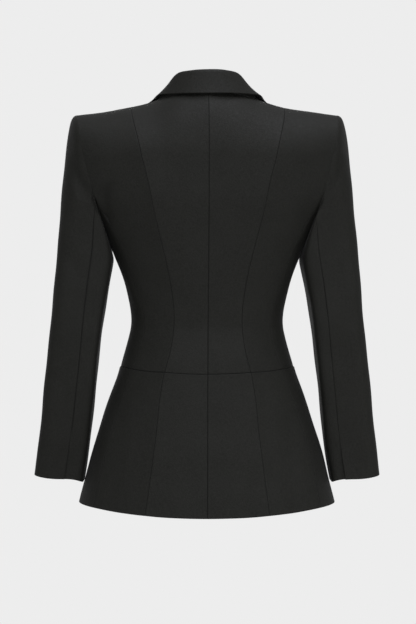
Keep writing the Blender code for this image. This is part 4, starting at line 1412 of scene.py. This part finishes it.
@dataclass(frozen=True)
class Peplum:
    """Panels below the waist seam, which flare to the hem."""

    torso: Torso
    waist: LevelCut
    hem: LevelCut
    thickness: float = 1.8

    def seam(self, seam: Table, place: SeamLine) -> Line:
        """One of its seams, from the hem up to the waist seam."""
        foot, head = self.hem.meets(seam, place), self.waist.meets(seam, place)
        return lambda share: place(seam, between(foot, head, share))

    def panel(self, node: str, left: Line, right: Line, kinds: tuple[EdgeKind, EdgeKind]) -> Cut:
        """The panel between two seams, which end its cloth in two ways.

        Args:
            node: The panel's name.
            left: The seam nearer the centre back.
            right: The seam nearer the front.
            kinds: How the cloth ends at both.

        Returns:
            The panel.
        """
        ends = np.array([0.0, 1.0])
        (low_left, high_left), (low_right, high_right) = (edge(ends)[:, 0] for edge in (left, right))
        foot, head = self.hem.span(low_left, low_right), self.waist.span(high_left, high_right)
        face = Edges(left, right, foot, head).on(self.torso)
        return Cut(node, face, *kinds, EdgeKind.HEM, EdgeKind.WAIST_BELOW, self.thickness)

    def build(self, tailor: Tailor) -> list[Piece]:
        """Sews the panels of both sides.

        Args:
            tailor: Sews them.

        Returns:
            The finished pieces.
        """
        back, front = self.torso.back_seam, self.torso.front_seam
        seams = [self.seam(seam, back) for seam in (CENTRE_BACK, BACK_PRINCESS, SIDE_BACK_SEAM)]
        seams += [self.seam(seam, front) for seam in (FRONT_PRINCESS, FRONT_EDGE)]
        nodes = ("peplum_back", "peplum_side_back", "peplum_side_front", "peplum_front")
        kinds = (
            (EdgeKind.SEAM, EdgeKind.SEAM),
            (EdgeKind.SEAM, EdgeKind.LAPS_OVER),
            (EdgeKind.LAPS_UNDER, EdgeKind.SEAM),
            (EdgeKind.SEAM, EdgeKind.HEM),
        )
        cuts = [self.panel(*parts) for parts in zip(nodes, seams, seams[1:], kinds)]
        return [tailor.sew(cut, side) for cut in cuts for side in Side]


@dataclass(frozen=True)
class HindSeam:
    """How a sleeve's hind seam runs up from the cuff, and how far its vent stands off.

    Inwards is the share of the arm's half width by which the seam lies on the body's side of its middle.
    """

    run: Table
    vent_lift: float

    def turn(self, up: Array, flatness: float, at_armhole: float) -> Array:
        """Turns along the seam, where the arm's superellipse is as far inwards as the run says.

        Args:
            up: Shares of the way up, from 0 at the cuff to 1 at the armhole.
            flatness: Power of the superellipse.
            at_armhole: Turn at which the seam meets the armhole.

        Returns:
            A turn for each share.
        """
        last = abs(math.cos(at_armhole)) ** (2.0 / flatness)
        inwards = smooth(np.append(self.run["up"], 1.0), np.append(self.run["inwards"], last), up)
        return QUARTER + np.arcsin(inwards ** (flatness / 2))


HIND_LEFT = HindSeam(
    table(
        "up inwards",
        (0.0, 0.27), (0.25, 0.31), (0.5, 0.24), (0.65, 0.31), (0.75, 0.53), (0.9, 0.73),
    ),
    vent_lift=0.9,
)
HIND_RIGHT = HindSeam(
    table(
        "up inwards",
        (0.0, 0.45), (0.25, 0.46), (0.5, 0.42), (0.6, 0.47), (0.7, 0.64), (0.8, 0.77),
    ),
    vent_lift=3.2,
)


@dataclass(frozen=True)
class Sleeves:
    """Two-piece sleeves: the top piece wraps round the outer side, the under piece faces the body.

    The cap is one cubic for each turn, from the armhole out and down to the arm's top ring. Below that the
    arm is a stack of superellipses. The hind seam ends in a vent at the cuff, where the top piece lies over
    the under piece, which is sunk by more than its thickness there.
    """

    torso: Torso
    armhole: Armhole
    thickness: float = 1.6
    bicep_height: float = -256.0
    cuff_height: float = -602.5
    leaves_top: tuple[float, float, float] = (1.0, 0.0, -0.06)
    leaves_under: tuple[float, float, float] = (-0.12, 0.0, -1.0)
    stands_off: float = 0.5
    reach_top: float = 17.0
    reach_under: float = 14.0
    fall_top: float = 0.93
    fall_under: float = 0.46
    cap_lap: float = 2.4
    cuff_fore: float = math.radians(252.0)
    inner_flatness: float = 7.0
    outer_flatness: float = 3.6
    vent_length: float = 82.0
    vent_fade: float = 11.0
    vent_lap: float = 0.2
    vent_lap_power: int = 6
    vent_clearance: float = 0.5
    vent_sink_fade: float = 8.0

    def armhole_edge(self, turn: Array) -> tuple[Array, Array]:
        """Points and normals round the armhole.

        Args:
            turn: Turns round it.

        Returns:
            Points and unit normals.
        """
        height = self.armhole.height(turn)
        back = self.torso.back_seam(BACK_ARMHOLE, height)[..., 0]
        front = self.torso.front_seam(FRONT_ARMHOLE, height)[..., 0]
        return self.torso.face(np.where(np.sin(turn) >= 0.0, back, front), height)

    def ring(self, turn: Array, height: Array) -> Array:
        """Points of the arm: half superellipses, the inner ones flatter, whose outer sides lie higher.

        Args:
            turn: Turns round the arm.
            height: Heights of its middle.

        Returns:
            A point for each pair.
        """
        size = {name: read(ARM, name, height) for name in ARM if name != "height"}
        power = 2.0 / np.where(np.cos(turn) < 0.0, self.inner_flatness, self.outer_flatness)
        x = size["centre_x"] + size["half_width"] * np.sign(np.cos(turn)) * np.abs(np.cos(turn)) ** power
        y = size["centre_y"] + size["half_depth"] * np.sign(np.sin(turn)) * np.abs(np.sin(turn)) ** power
        return np.stack([x, y, height + size["outer_rise"] * np.cos(turn)], axis=-1)

    def cap(self, turn: Array, share: Array) -> Array:
        """Points of the cap at a share of the way down from the armhole.

        Args:
            turn: Turns round the armhole.
            share: Shares of the way.

        Returns:
            A point for each pair.
        """
        top = (0.5 + 0.5 * np.cos(turn))[..., None]
        leave = unit(top * np.array(self.leaves_top) + (1.0 - top) * np.array(self.leaves_under))
        edge, outwards = self.armhole_edge(turn)
        start = edge + outwards * self.stands_off - leave * self.cap_lap
        bicep = np.full_like(turn, self.bicep_height)
        end = self.ring(turn, bicep)
        fall = unit(end - self.ring(turn, bicep - 1.0))
        length = np.linalg.norm(end - start, axis=-1, keepdims=True)
        reach = between(self.reach_under, self.reach_top, top)
        drop = length * between(self.fall_under, self.fall_top, top**2)
        share = share[..., None]
        return (
            (1 - share) ** 3 * start
            + 3 * (1 - share) ** 2 * share * (start + leave * reach)
            + 3 * (1 - share) * share**2 * (end + fall * drop)
            + share**3 * end
        )

    def bare(self, turn: Array, down: Array) -> Array:
        """Points of the sleeve. Down runs from 0 at the armhole to 1 at the arm's top and 2 at the cuff."""
        height = between(self.bicep_height, self.cuff_height, clamped(down - 1.0))
        return np.where((down < 1.0)[..., None], self.cap(turn, clamped(down)), self.ring(turn, height))

    def face(self, turn: Array, down: Array) -> tuple[Array, Array]:
        """Points and unit normals of the sleeve, from small steps both ways.

        Args:
            turn: Turns round the sleeve.
            down: How far down, as above.

        Returns:
            Points and unit normals.
        """
        step = 1e-3
        round_it = self.bare(turn + step, down) - self.bare(turn - step, down)
        lower, upper = np.minimum(down + step, 2.0), np.maximum(down - step, 0.0)
        downwards = self.bare(turn, lower) - self.bare(turn, upper)
        return self.bare(turn, down), -unit(np.cross(round_it, downwards))

    def vent(self, points: Array) -> Array:
        """How open the vent is, from 0 at its top to 1 at the cuff."""
        return ease(1.0 - (points[..., 2] - self.cuff_height) / self.vent_length)

    def fore_seam(self, up: Array) -> Array:
        """Turns along the fore seam, counted the other way, evenly from the cuff to the armhole."""
        return self.armhole.fore * up + (FULL_TURN - self.cuff_fore) * (1.0 - up)

    def turns(self, share: Array, first: Array, middle: float, last: Array) -> Array:
        """Turns across a piece: from the first stop to the middle one, then to the last."""
        before, after = between(first, middle, 2.0 * share), between(middle, last, 2.0 * share - 1.0)
        return np.where(share < 0.5, before, after)

    def piece(self, node: str, face: Face) -> Cut:
        """One of a sleeve's two pieces: seamed all round but for the cuff."""
        seam = EdgeKind.SEAM
        return Cut(node, face, seam, seam, EdgeKind.HEM, seam, self.thickness)

    def top_piece(self, hind: HindSeam) -> Cut:
        """The top piece, whose hind edge stands off at the vent.

        Args:
            hind: Its hind seam.

        Returns:
            The piece.
        """

        def face(u: Array, v: Array) -> tuple[Array, Array]:
            """Points and normals, with the vent's edge lifted.

            Args:
                u: Shares across the piece.
                v: Shares from the cuff up.

            Returns:
                Points and unit normals.
            """
            seam, down = hind.turn(v, self.inner_flatness, self.armhole.hind), 2.0 - 2.0 * v
            points, normals = self.face(self.turns(u, -self.fore_seam(v), 0.0, seam), down)
            beside = np.linalg.norm(points - self.bare(seam, down), axis=-1)
            raised = hind.vent_lift * self.vent(points) * np.exp(-beside / self.vent_fade)
            return points + normals * raised[..., None], normals

        return self.piece("top_sleeve", face)

    def under_piece(self, hind: HindSeam) -> Cut:
        """The under piece, which runs on beneath the vent.

        Args:
            hind: Its hind seam.

        Returns:
            The piece.
        """

        def face(u: Array, v: Array) -> tuple[Array, Array]:
            """Points and normals: at the vent the hind edge is sunk and laps on beneath the top piece.

            Args:
                u: Shares across the piece.
                v: Shares from the cuff up.

            Returns:
                Points and unit normals.
            """
            seam, down = hind.turn(v, self.inner_flatness, self.armhole.hind), 2.0 - 2.0 * v
            turn = self.turns(u, seam, math.pi, FULL_TURN - self.fore_seam(v))
            open_share = self.vent(self.bare(turn, down))
            turn = turn - self.vent_lap * open_share * (1.0 - u) ** self.vent_lap_power
            points, normals = self.face(turn, down)
            sunk = (self.thickness + self.vent_clearance) * open_share * np.exp(-u * self.vent_sink_fade)
            return points - normals * sunk[..., None], normals

        return self.piece("under_sleeve", face)

    def build(self, tailor: Tailor) -> list[Piece]:
        """Sews both sleeves. The right vent stands open, the left one lies nearly shut.

        Args:
            tailor: Sews them.

        Returns:
            The finished pieces.
        """
        return [
            tailor.sew(piece(hind), side)
            for side, hind in ((Side.LEFT, HIND_LEFT), (Side.RIGHT, HIND_RIGHT))
            for piece in (self.top_piece, self.under_piece)
        ]


@dataclass(frozen=True)
class Collar:
    """One folded leaf round the neck: a stand, a half round roll and a fall that ends off the back.

    It is read by a signed share along the neck, 0 at the centre back and 1 at each gorge.
    """

    torso: Torso
    bodice: Bodice
    thickness: float = 2.2
    seam_lap: float = 0.8
    side_neck_along: float = 0.48
    stand_share: float = 0.3
    roll_share: float = 0.18
    sway: float = 3.0
    spacing: float = 2.6

    def column(self, name: str, along: Array) -> Array:
        """A column of the collar's table, mirrored at the centre back, where only X changes its sign.

        Args:
            name: The column.
            along: Signed shares along the neck.

        Returns:
            Its values there.
        """
        keys, values = COLLAR["along"], COLLAR[name]
        sign = -1.0 if name.endswith("_x") else 1.0
        return smooth(np.append(-keys[:0:-1], keys), np.append(sign * values[:0:-1], values), along)

    def line(self, name: str, along: Array) -> Array:
        """The roll or the edge line."""
        return np.stack([self.column(f"{name}_{axis}", along) for axis in "xyz"], axis=-1)

    def neck_seam(self, along: Array) -> Array:
        """Its seam on the neck: round the back neck, then down the front neck to the gorge.

        Args:
            along: Signed shares along the neck.

        Returns:
            Points of the seam.
        """
        side, along = np.sign(along), np.abs(along)
        turned = clamped(along / self.side_neck_along) * QUARTER
        neck, drop = self.bodice.side_neck, self.bodice.back_neck_drop
        back = self.torso.back_line(neck * np.sin(turned), -drop * np.cos(turned))
        down = past(along, self.side_neck_along)
        gorge_x, gorge_height = self.bodice.gorge
        front = self.torso.front_line(between(neck, gorge_x, down), gorge_height * down)
        points, _ = self.torso.face_at(np.where((along < self.side_neck_along)[..., None], back, front))
        return points * np.stack([side, np.ones_like(side), np.ones_like(side)], axis=-1)

    def section(self, u: Array, along: Array) -> Array:
        """Points of the shown face: up the stand, round the roll and down the fall.

        The roll is half a circle that touches the roll line, in the plane of the neck seam, roll and edge.

        Args:
            u: Shares from the neck seam to the outer edge.
            along: Signed shares along the neck.

        Returns:
            Points of the face.
        """
        seam, roll, edge = self.neck_seam(along), self.line("roll", along), self.line("edge", along)
        seam = seam - unit(roll - seam) * self.seam_lap
        radius = self.column("roll_radius", along)[..., None]
        up = unit(roll - (seam + edge) / 2)
        out = edge - seam
        out = unit(out - np.sum(out * up, axis=-1, keepdims=True) * up)
        middle = roll - up * radius
        fall_start = self.stand_share + self.roll_share
        stand = clamped(u / self.stand_share)[..., None]
        turned = clamped((u - self.stand_share) / self.roll_share)[..., None] * math.pi
        fall = past(u, fall_start)[..., None]
        stood = leg(seam, unit(middle - seam), middle - out * radius, up, stand)
        rolled = middle - out * radius * np.cos(turned) + up * radius * np.sin(turned)
        fallen = leg(middle + out * radius, -up, edge, unit(edge - middle), fall)
        where = u[..., None]
        return np.where(where < self.stand_share, stood, np.where(where < fall_start, rolled, fallen))

    def face(self, u: Array, v: Array) -> tuple[Array, Array]:
        """Points and normals of the whole collar, from the right gorge to the left one.

        Beside the neck its fall sways to the wearer's right, as a sine along the collar and a square across.

        Args:
            u: Shares from the neck seam to the outer edge.
            v: Shares from the right gorge to the left one.

        Returns:
            Points and unit normals.
        """
        along, step = 2.0 * v - 1.0, 1e-4
        before, after = np.maximum(along - step, -1.0), np.minimum(along + step, 1.0)
        inner, outer = np.maximum(u - step, 0.0), np.minimum(u + step, 1.0)
        lengthwise = self.section(u, after) - self.section(u, before)
        crosswise = self.section(outer, along) - self.section(inner, along)
        swayed = self.sway * u**2 * np.sin(math.pi * np.abs(along))
        points = self.section(u, along) - swayed[..., None] * np.array([1.0, 0.0, 0.0])
        return points, -unit(np.cross(lengthwise, crosswise))

    def build(self, tailor: Tailor) -> list[Piece]:
        """Sews the collar.

        Args:
            tailor: Sews it.

        Returns:
            The finished piece.
        """
        kinds = (EdgeKind.SEAM, EdgeKind.HEM, EdgeKind.HEM, EdgeKind.HEM)
        cut = Cut("collar", self.face, *kinds, self.thickness, Hold.FOLDED, self.spacing)
        return [tailor.sew(cut, whole=True)]


@dataclass(frozen=True)
class Lapels:
    """Lapels: the front panel's points moved out, with the inner edge rolled down to the front edge."""

    torso: Torso
    bodice: Bodice
    thickness: float = 2.0
    tip: tuple[float, float] = (130.0, -80.0)
    foot_width: float = 6.0
    belly: float = 9.0
    lift: float = 4.4
    roll_width: float = 7.0
    spacing: float = 3.0

    def face(self, u: Array, v: Array) -> tuple[Array, Array]:
        """Points and normals.

        Each row runs straight from the roll line to the outer edge, which bellies out as a sine. The lift
        rises from the roll line as a quarter of a sine.

        Args:
            u: Shares from the roll line to the outer edge.
            v: Shares from the foot up to the gorge.

        Returns:
            Points and unit normals.
        """
        foot_share = self.bodice.lapel_foot
        roll_x, roll_height = self.bodice.roll(between(foot_share, 1.0, v))
        foot_x, foot_height = self.bodice.roll(np.array(foot_share))
        outer_x = between(foot_x + self.foot_width, self.tip[0], v) + self.belly * np.sin(math.pi * v)
        outer_height = between(foot_height, self.tip[1], v)
        x, height = between(roll_x, outer_x, u), between(roll_height, outer_height, u)
        from_roll = np.hypot(x - roll_x, height - roll_height)
        lift = self.lift * np.sin(clamped(from_roll / self.roll_width) * QUARTER)
        return self.torso.face_at(self.torso.front_line(x, height), lift)

    def build(self, tailor: Tailor) -> list[Piece]:
        """Sews both lapels."""
        cut = Cut("lapel", self.face, *(EdgeKind.HEM,) * 4, self.thickness, Hold.FOLDED, self.spacing)
        return [tailor.sew(cut, side) for side in Side]


@dataclass(frozen=True)
class Lacing:
    """Eyelets in two columns beside the front edges, and one round lace that crosses between them."""

    torso: Torso
    bodice: Bodice
    plate: Material
    cord: Material
    rows: int = 6
    strip_width: float = 22.0
    bore: float = 2.6
    barrel: float = 3.3
    flange: float = 4.8
    dome: float = 0.9
    washer_dome: float = 0.63
    seat: float = 0.25
    hole: float = 3.7
    punch: float = 14.4
    sharp_from: float = math.radians(50.0)
    turned_steps: int = 40
    profile_steps: int = 9
    lace_radius: float = 1.5
    outside: float = 4.6
    leaves: float = 2.4
    inside: float = -6.6
    enters: float = -4.4
    crossing: float = 1.8
    bend: float = 4.2
    lace_sides: int = 14
    lace_step: float = 0.8
    lace_blunt: float = 0.12
    strands_round: int = 8
    plait: float = 0.10
    knot_turns: float = 2.5
    knot_steps: int = 60
    knot_squeeze: float = 0.25
    knot_pitch: float = 1.9
    tail: float = 9.0

    def seats(self) -> tuple[Array, Array]:
        """Points and normals of the left eyelets: in the middle of the strip and of even rows.

        Returns:
            Points and unit normals, from the lowest row up.
        """
        start, end = self.bodice.waist.side_height, self.bodice.break_height
        height = start + (end - start) * (np.arange(self.rows) + 0.5) / self.rows
        x = np.full_like(height, self.bodice.front_edge + self.strip_width / 2)
        return self.torso.face_at(self.torso.front_line(x, height))

    def profile(self) -> Array:
        """Half section of an eyelet, once round: a domed flange, the barrel, a domed washer and the bore.

        Returns:
            Radii and levels above the cloth's outer face.
        """
        middle, half = (self.bore + self.flange) / 2, (self.flange - self.bore) / 2
        arc = run(0.0, math.pi, self.profile_steps)
        foot = -self.bodice.thickness - self.seat
        dome = np.stack([middle - half * np.cos(arc), self.seat + self.dome * np.sin(arc)], axis=-1)
        washer = np.stack([middle + half * np.cos(arc), foot - self.washer_dome * np.sin(arc)], axis=-1)
        barrel = np.array([[self.barrel, self.seat], [self.barrel, foot]])
        return np.concatenate([dome, barrel, washer])

    def eyelet(self, node: str, point: Array, normal: Array) -> Piece:
        """An eyelet: its half section turned about its axis, square to the cloth.

        Args:
            node: Solid that it stands for.
            point: Middle of its seat.
            normal: The cloth's normal there.

        Returns:
            The finished piece.
        """
        sideways = unit(np.cross(normal, [0.0, 0.0, 1.0]))
        upwards = np.cross(sideways, normal)
        turn = (np.arange(self.turned_steps) * FULL_TURN / self.turned_steps)[:, None, None]
        radius, level = (item[None, :, None] for item in self.profile().T)
        points = hung(point + radius * (np.cos(turn) * sideways + np.sin(turn) * upwards) + level * normal)
        faces = quads(*points.shape[:2], round_rows=True, round_columns=True)
        points = points.reshape(-1, 3)
        piece = new_piece(f"{node}_metal", points, faces, np.zeros((len(points), 2)))
        piece.data.set_sharp_from_angle(angle=self.sharp_from)
        return dressed(piece, self.plate, "eyelets", node)

    def cut_holes(self, panel: Piece, points: Array, normals: Array) -> None:
        """Cuts round holes for the barrels through a front panel, and keeps the cut mesh.

        Args:
            panel: The front panel.
            points: Middles of the holes.
            normals: The cloth's normals there.
        """
        work = bmesh.new()
        for point, normal in zip(points, normals):
            square = Vector(normal).to_track_quat("Z", "Y").to_matrix().to_4x4()
            bmesh.ops.create_cone(
                work,
                cap_ends=True,
                segments=self.turned_steps,
                radius1=self.hole * MM,
                radius2=self.hole * MM,
                depth=self.punch * MM,
                matrix=Matrix.Translation(Vector(hung(point)) * MM) @ square,
            )
        mesh = bpy.data.meshes.new("punch")
        work.to_mesh(mesh)
        work.free()
        punch = placed("punch", mesh)
        cut = panel.modifiers.new("eyelet_holes", "BOOLEAN")
        cut.operation = "DIFFERENCE"
        cut.object = punch
        shown = panel.evaluated_get(bpy.context.evaluated_depsgraph_get())
        uncut, panel.data = panel.data, bpy.data.meshes.new_from_object(shown)
        panel.modifiers.clear()
        bpy.data.objects.remove(punch)
        bpy.data.meshes.remove(uncut)

    def stretch(
        self, start: Array, end: Array, normal: Array, leaves: float, level: float, middle: float
    ) -> list[Array]:
        """Stops of a stretch of lace between two eyelets, on one face of the cloth.

        Args:
            start: Middle of the first eyelet's seat.
            end: Middle of the second one's.
            normal: The way in which the levels are counted.
            leaves: Level in the eyelets.
            level: Level a bend away from them.
            middle: Level half way.

        Returns:
            Five stops.
        """
        way = unit(end - start) * self.bend
        return [
            start + normal * leaves,
            start + way + normal * level,
            (start + end) / 2 + normal * middle,
            end - way + normal * level,
            end + normal * leaves,
        ]

    def half_route(self, side: Side) -> tuple[list[Array], Array]:
        """Route of half the lace, from the bottom eyelet on one side up to its knot.

        It comes out of an eyelet, crosses to the next one up on the other side, goes in, runs up behind the
        cloth to the eyelet above, and so on. The half that starts on the left passes over the other half.

        Args:
            side: Where it starts.

        Returns:
            The route's stops, and the way in which its end points.
        """
        points, normals = self.seats()
        middle = self.outside + self.crossing * side.value
        stops: list[Array] = []
        for row in range(self.rows - 1):
            crosses = row % 2 == 0
            start = on_side(points[row], side)
            side = Side(-side.value) if crosses else side
            end = on_side(points[row + 1], side)
            normal = unit(normals[row] + normals[row + 1])
            if crosses:
                level = unit(normal * np.array([0.0, 1.0, 1.0]))
                stops += self.stretch(start, end, level, self.leaves, self.outside, middle)
            else:
                normal = on_side(normal, side)
                stops += self.stretch(start, end, normal, self.enters, self.inside, self.inside)
        inwards = -on_side(normals[-1], side)
        return stops + [end - inwards * level for level in (self.enters, self.inside)], inwards

    def route(self) -> tuple[Array, list[tuple[Array, Array]]]:
        """The whole lace's line: its middle lies behind the lowest pair of eyelets.

        Returns:
            Points at even steps, and each knot's place and way.
        """
        points, normals = self.seats()
        first = points[0] + normals[0] * self.enters
        turned = first + normals[0] * (self.inside - self.enters) - np.array([self.bend, 0.0, 0.0])
        bar = [on_side(first, Side.RIGHT), on_side(turned, Side.RIGHT), turned, first]
        (left, left_way), (right, right_way) = self.half_route(Side.LEFT), self.half_route(Side.RIGHT)
        knots = [(right[-1], right_way), (left[-1], left_way)]
        tails = [place + way * self.tail for place, way in knots]
        stops = np.array([tails[0], *right[::-1], *bar, *left, tails[1]])
        keys = behind(stops)
        at = run(0.0, keys[-1], math.ceil(keys[-1] / self.lace_step))
        return hung(np.stack([smooth(keys, stops[:, axis], at) for axis in range(3)], axis=-1)), knots

    def tube(self, name: str, line: Array) -> Piece:
        """A plaited cord along a line: rings carried without twist, whose radius swells with each strand.

        Args:
            name: The piece's name.
            line: Points of its middle.

        Returns:
            The cord, with both ends closed.
        """
        ways = unit(np.gradient(line, axis=0))

        def carry(side: Array, way: Array) -> Array:
            """The last ring's side, made square to the next ring's way."""
            return unit(side - way * np.dot(side, way))

        sideways = np.array(list(accumulate(ways, carry, initial=square_to(ways[0])))[1:])
        upwards = np.cross(ways, sideways)
        turn = (np.arange(self.lace_sides) * FULL_TURN / self.lace_sides)[None, :]
        length = behind(line)[:, None]
        steps = length / (FULL_TURN * self.lace_radius / self.strands_round)
        half = self.strands_round / 2 * turn
        plait = np.cos(half + math.pi * steps) * np.cos(half - math.pi * steps)
        to_end = np.minimum(length, length[-1] - length)
        ends = np.minimum(1.0, np.sqrt(to_end / self.lace_radius + self.lace_blunt))
        radius = (self.lace_radius * ends + self.plait * plait)[..., None]
        points = line[:, None] + radius * (
            np.cos(turn)[..., None] * sideways[:, None] + np.sin(turn)[..., None] * upwards[:, None]
        )
        rings, sides = points.shape[:2]
        count = np.broadcast_to(turn / FULL_TURN * self.strands_round, (rings, sides))
        grain = np.stack([count, np.broadcast_to(steps, (rings, sides))], axis=-1).reshape(-1, 2)
        faces = quads(rings, sides, round_columns=True)
        caps = (np.arange(sides)[::-1], (rings - 1) * sides + np.arange(sides))
        return new_piece(name, points.reshape(-1, 3), faces, grain, caps)

    def knot_line(self, place: Array, way: Array) -> Array:
        """A stopper knot's coil: a helix of close turns round the lace's end.

        Args:
            place: Where it starts.
            way: The way in which the lace's end points.

        Returns:
            Points of the coil's middle.
        """
        first = square_to(way)
        second = np.cross(way, first)
        turn = run(0.0, self.knot_turns * FULL_TURN, self.knot_steps)[:, None]
        radius = 2.0 * self.lace_radius - self.knot_squeeze
        rise = turn / FULL_TURN * self.knot_pitch * self.lace_radius
        return hung(place + radius * (np.cos(turn) * first + np.sin(turn) * second) + way * rise)

    def build(self, fronts: dict[Side, Piece]) -> list[Piece]:
        """Sets the eyelets into both fronts and threads the lace.

        Args:
            fronts: The front panels.

        Returns:
            The finished pieces.
        """
        points, normals = self.seats()
        made = []
        for side, panel in fronts.items():
            places, ways = on_side(points, side), on_side(normals, side)
            self.cut_holes(panel, places, ways)
            for row, (place, way) in enumerate(zip(places, ways), start=1):
                made.append(self.eyelet(f"{side.named('eyelet')}_{row}", place, way))
        line, knots = self.route()
        lace = dressed(self.tube("lace_braid", line), self.cord, "lace", "lace")
        for side, (place, way) in zip((Side.RIGHT, Side.LEFT), knots):
            knot = self.tube(side.named("lace_knot"), self.knot_line(place, way))
            made.append(dressed(knot, self.cord, "lace"))
        return [*made, lace]


@dataclass(frozen=True)
class Softbox:
    """A soft square light: where it is, what it looks at, its side in metres, its power and its colour."""

    name: str
    place: tuple[float, float, float]
    target: tuple[float, float, float]
    side: float
    power: float
    colour: str = "#ffffff"
    glossy: bool = True

    def build(self) -> None:
        """Adds the light to the scene."""
        data = bpy.data.lights.new(self.name, "AREA")
        data.size, data.energy, data.color = self.side, self.power, linear(self.colour)[:3]
        light = placed(self.name, data)
        light.location = self.place
        light.visible_camera = False
        light.visible_glossy = self.glossy
        light.rotation_euler = (Vector(self.target) - Vector(self.place)).to_track_quat("-Z", "Y").to_euler()


@dataclass(frozen=True)
class Studio:
    """Plain pale surround and floor, soft light from above, and the camera behind. Sizes are in metres."""

    surround: str = "#ededed"
    wall: str = "#989899"
    floor_height: float = -1.40
    floor_radius: float = 3.0
    floor_middle: float = 0.01
    floor_rings: int = 24
    floor_sides: int = 96
    camera_place: tuple[float, float, float] = (-0.0016, 3.2, -0.3392)
    frame_height: float = 0.9984
    film: float = 36.0
    farthest: float = 100.0
    lights: tuple[Softbox, ...] = (
        Softbox("key_above", (-0.32, 2.30, 3.2), (0.0, 0.0, -0.3), 2.1, 88.0, "#f4f6ff"),
        Softbox("top", (-0.35, 0.1, 2.4), (-0.02, 0.0, -0.1), 1.2, 31.0, "#f4f6ff"),
        Softbox("side_right", (-1.05, 0.70, -0.60), (-0.24, 0.0, -0.46), 0.5, 1.6),
        Softbox("side_left", (1.15, 0.75, -0.40), (0.22, 0.0, -0.36), 0.5, 0.6),
        Softbox("fill_low", (-0.25, 3.4, -1.0), (0.0, 0.0, -0.35), 1.6, 56.0, "#f4f6ff", glossy=False),
        Softbox("fill_front", (0.3, -2.5, 0.5), (0.0, 0.0, -0.3), 1.6, 90.0, glossy=False),
    )

    def light(self) -> None:
        """Sets the softboxes and the surround, which is paler to the camera than the light it casts."""
        world = bpy.data.worlds.new("pale_surround")
        world.use_nodes = True
        tree = world.node_tree
        tree.nodes.clear()
        seen = add(tree, "ShaderNodeLightPath", {}, "Is Camera Ray")
        shades = {0: seen, 6: linear(self.wall), 7: linear(self.surround)}
        colour = add(tree, "ShaderNodeMix", shades, 2, data_type="RGBA")
        add(tree, "ShaderNodeOutputWorld", {"Surface": add(tree, "ShaderNodeBackground", {"Color": colour})})
        bpy.context.scene.world = world
        bpy.context.scene.view_settings.view_transform = "Standard"
        for softbox in self.lights:
            softbox.build()

    def floor(self, material: Material) -> Piece:
        """A round floor below the jacket: rings of points about its middle.

        Args:
            material: Its finish.

        Returns:
            The floor.
        """
        turn = np.arange(self.floor_sides) * FULL_TURN / self.floor_sides
        radius = run(self.floor_middle, self.floor_radius, self.floor_rings)[:, None]
        height = np.full((self.floor_rings + 1, self.floor_sides), self.floor_height)
        points = np.stack([radius * np.cos(turn), radius * np.sin(turn), height], axis=-1).reshape(-1, 3)
        faces = quads(self.floor_rings + 1, self.floor_sides, round_columns=True)[:, ::-1]
        made = new_piece("floor", points / MM, faces, points[:, :2], (np.arange(self.floor_sides),))
        made.data.materials.append(material)
        return made

    def camera(self) -> Piece:
        """The camera, level, looking at the back. The film's long side is the picture's height.

        Returns:
            The camera.
        """
        data = bpy.data.cameras.new("camera")
        data.sensor_width = self.film
        data.lens = self.film * self.camera_place[1] / self.frame_height
        data.clip_end = self.farthest
        made = placed("camera", data)
        made.location = self.camera_place
        made.rotation_euler = (QUARTER, 0.0, math.pi)
        bpy.context.scene.camera = made
        return made


def main() -> None:
    """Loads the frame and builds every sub-assembly round it."""
    logging.basicConfig(level=logging.INFO, format="%(name)s: %(message)s")
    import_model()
    studio = Studio()
    studio.camera()
    studio.light()
    studio.floor(FloorPaint().material())

    torso, armhole = Torso(), Armhole()
    waist = LevelCut(side_height=-426.0, dip=10.0, power=2.0)
    hem = LevelCut(side_height=-641.5, dip=12.5, power=3.0)
    bodice = Bodice(torso, armhole, waist)
    tailor = Tailor(WoolSuiting().material(), Drape())
    panels = {piece.name: piece for piece in bodice.build(tailor)}
    pieces = list(panels.values())
    for assembly in (
        Peplum(torso, waist, hem),
        Sleeves(torso, armhole),
        Collar(torso, bodice),
        Lapels(torso, bodice),
    ):
        pieces += assembly.build(tailor)
    lacing = Lacing(torso, bodice, NickelPlate().material(), BraidedCord().material())
    pieces += lacing.build({side: panels[f"{side.named('front')}_cloth"] for side in Side})
    for piece in pieces:
        log.info("%s: %d faces", piece.name, len(piece.data.polygons))


if __name__ == "__main__":
    main()
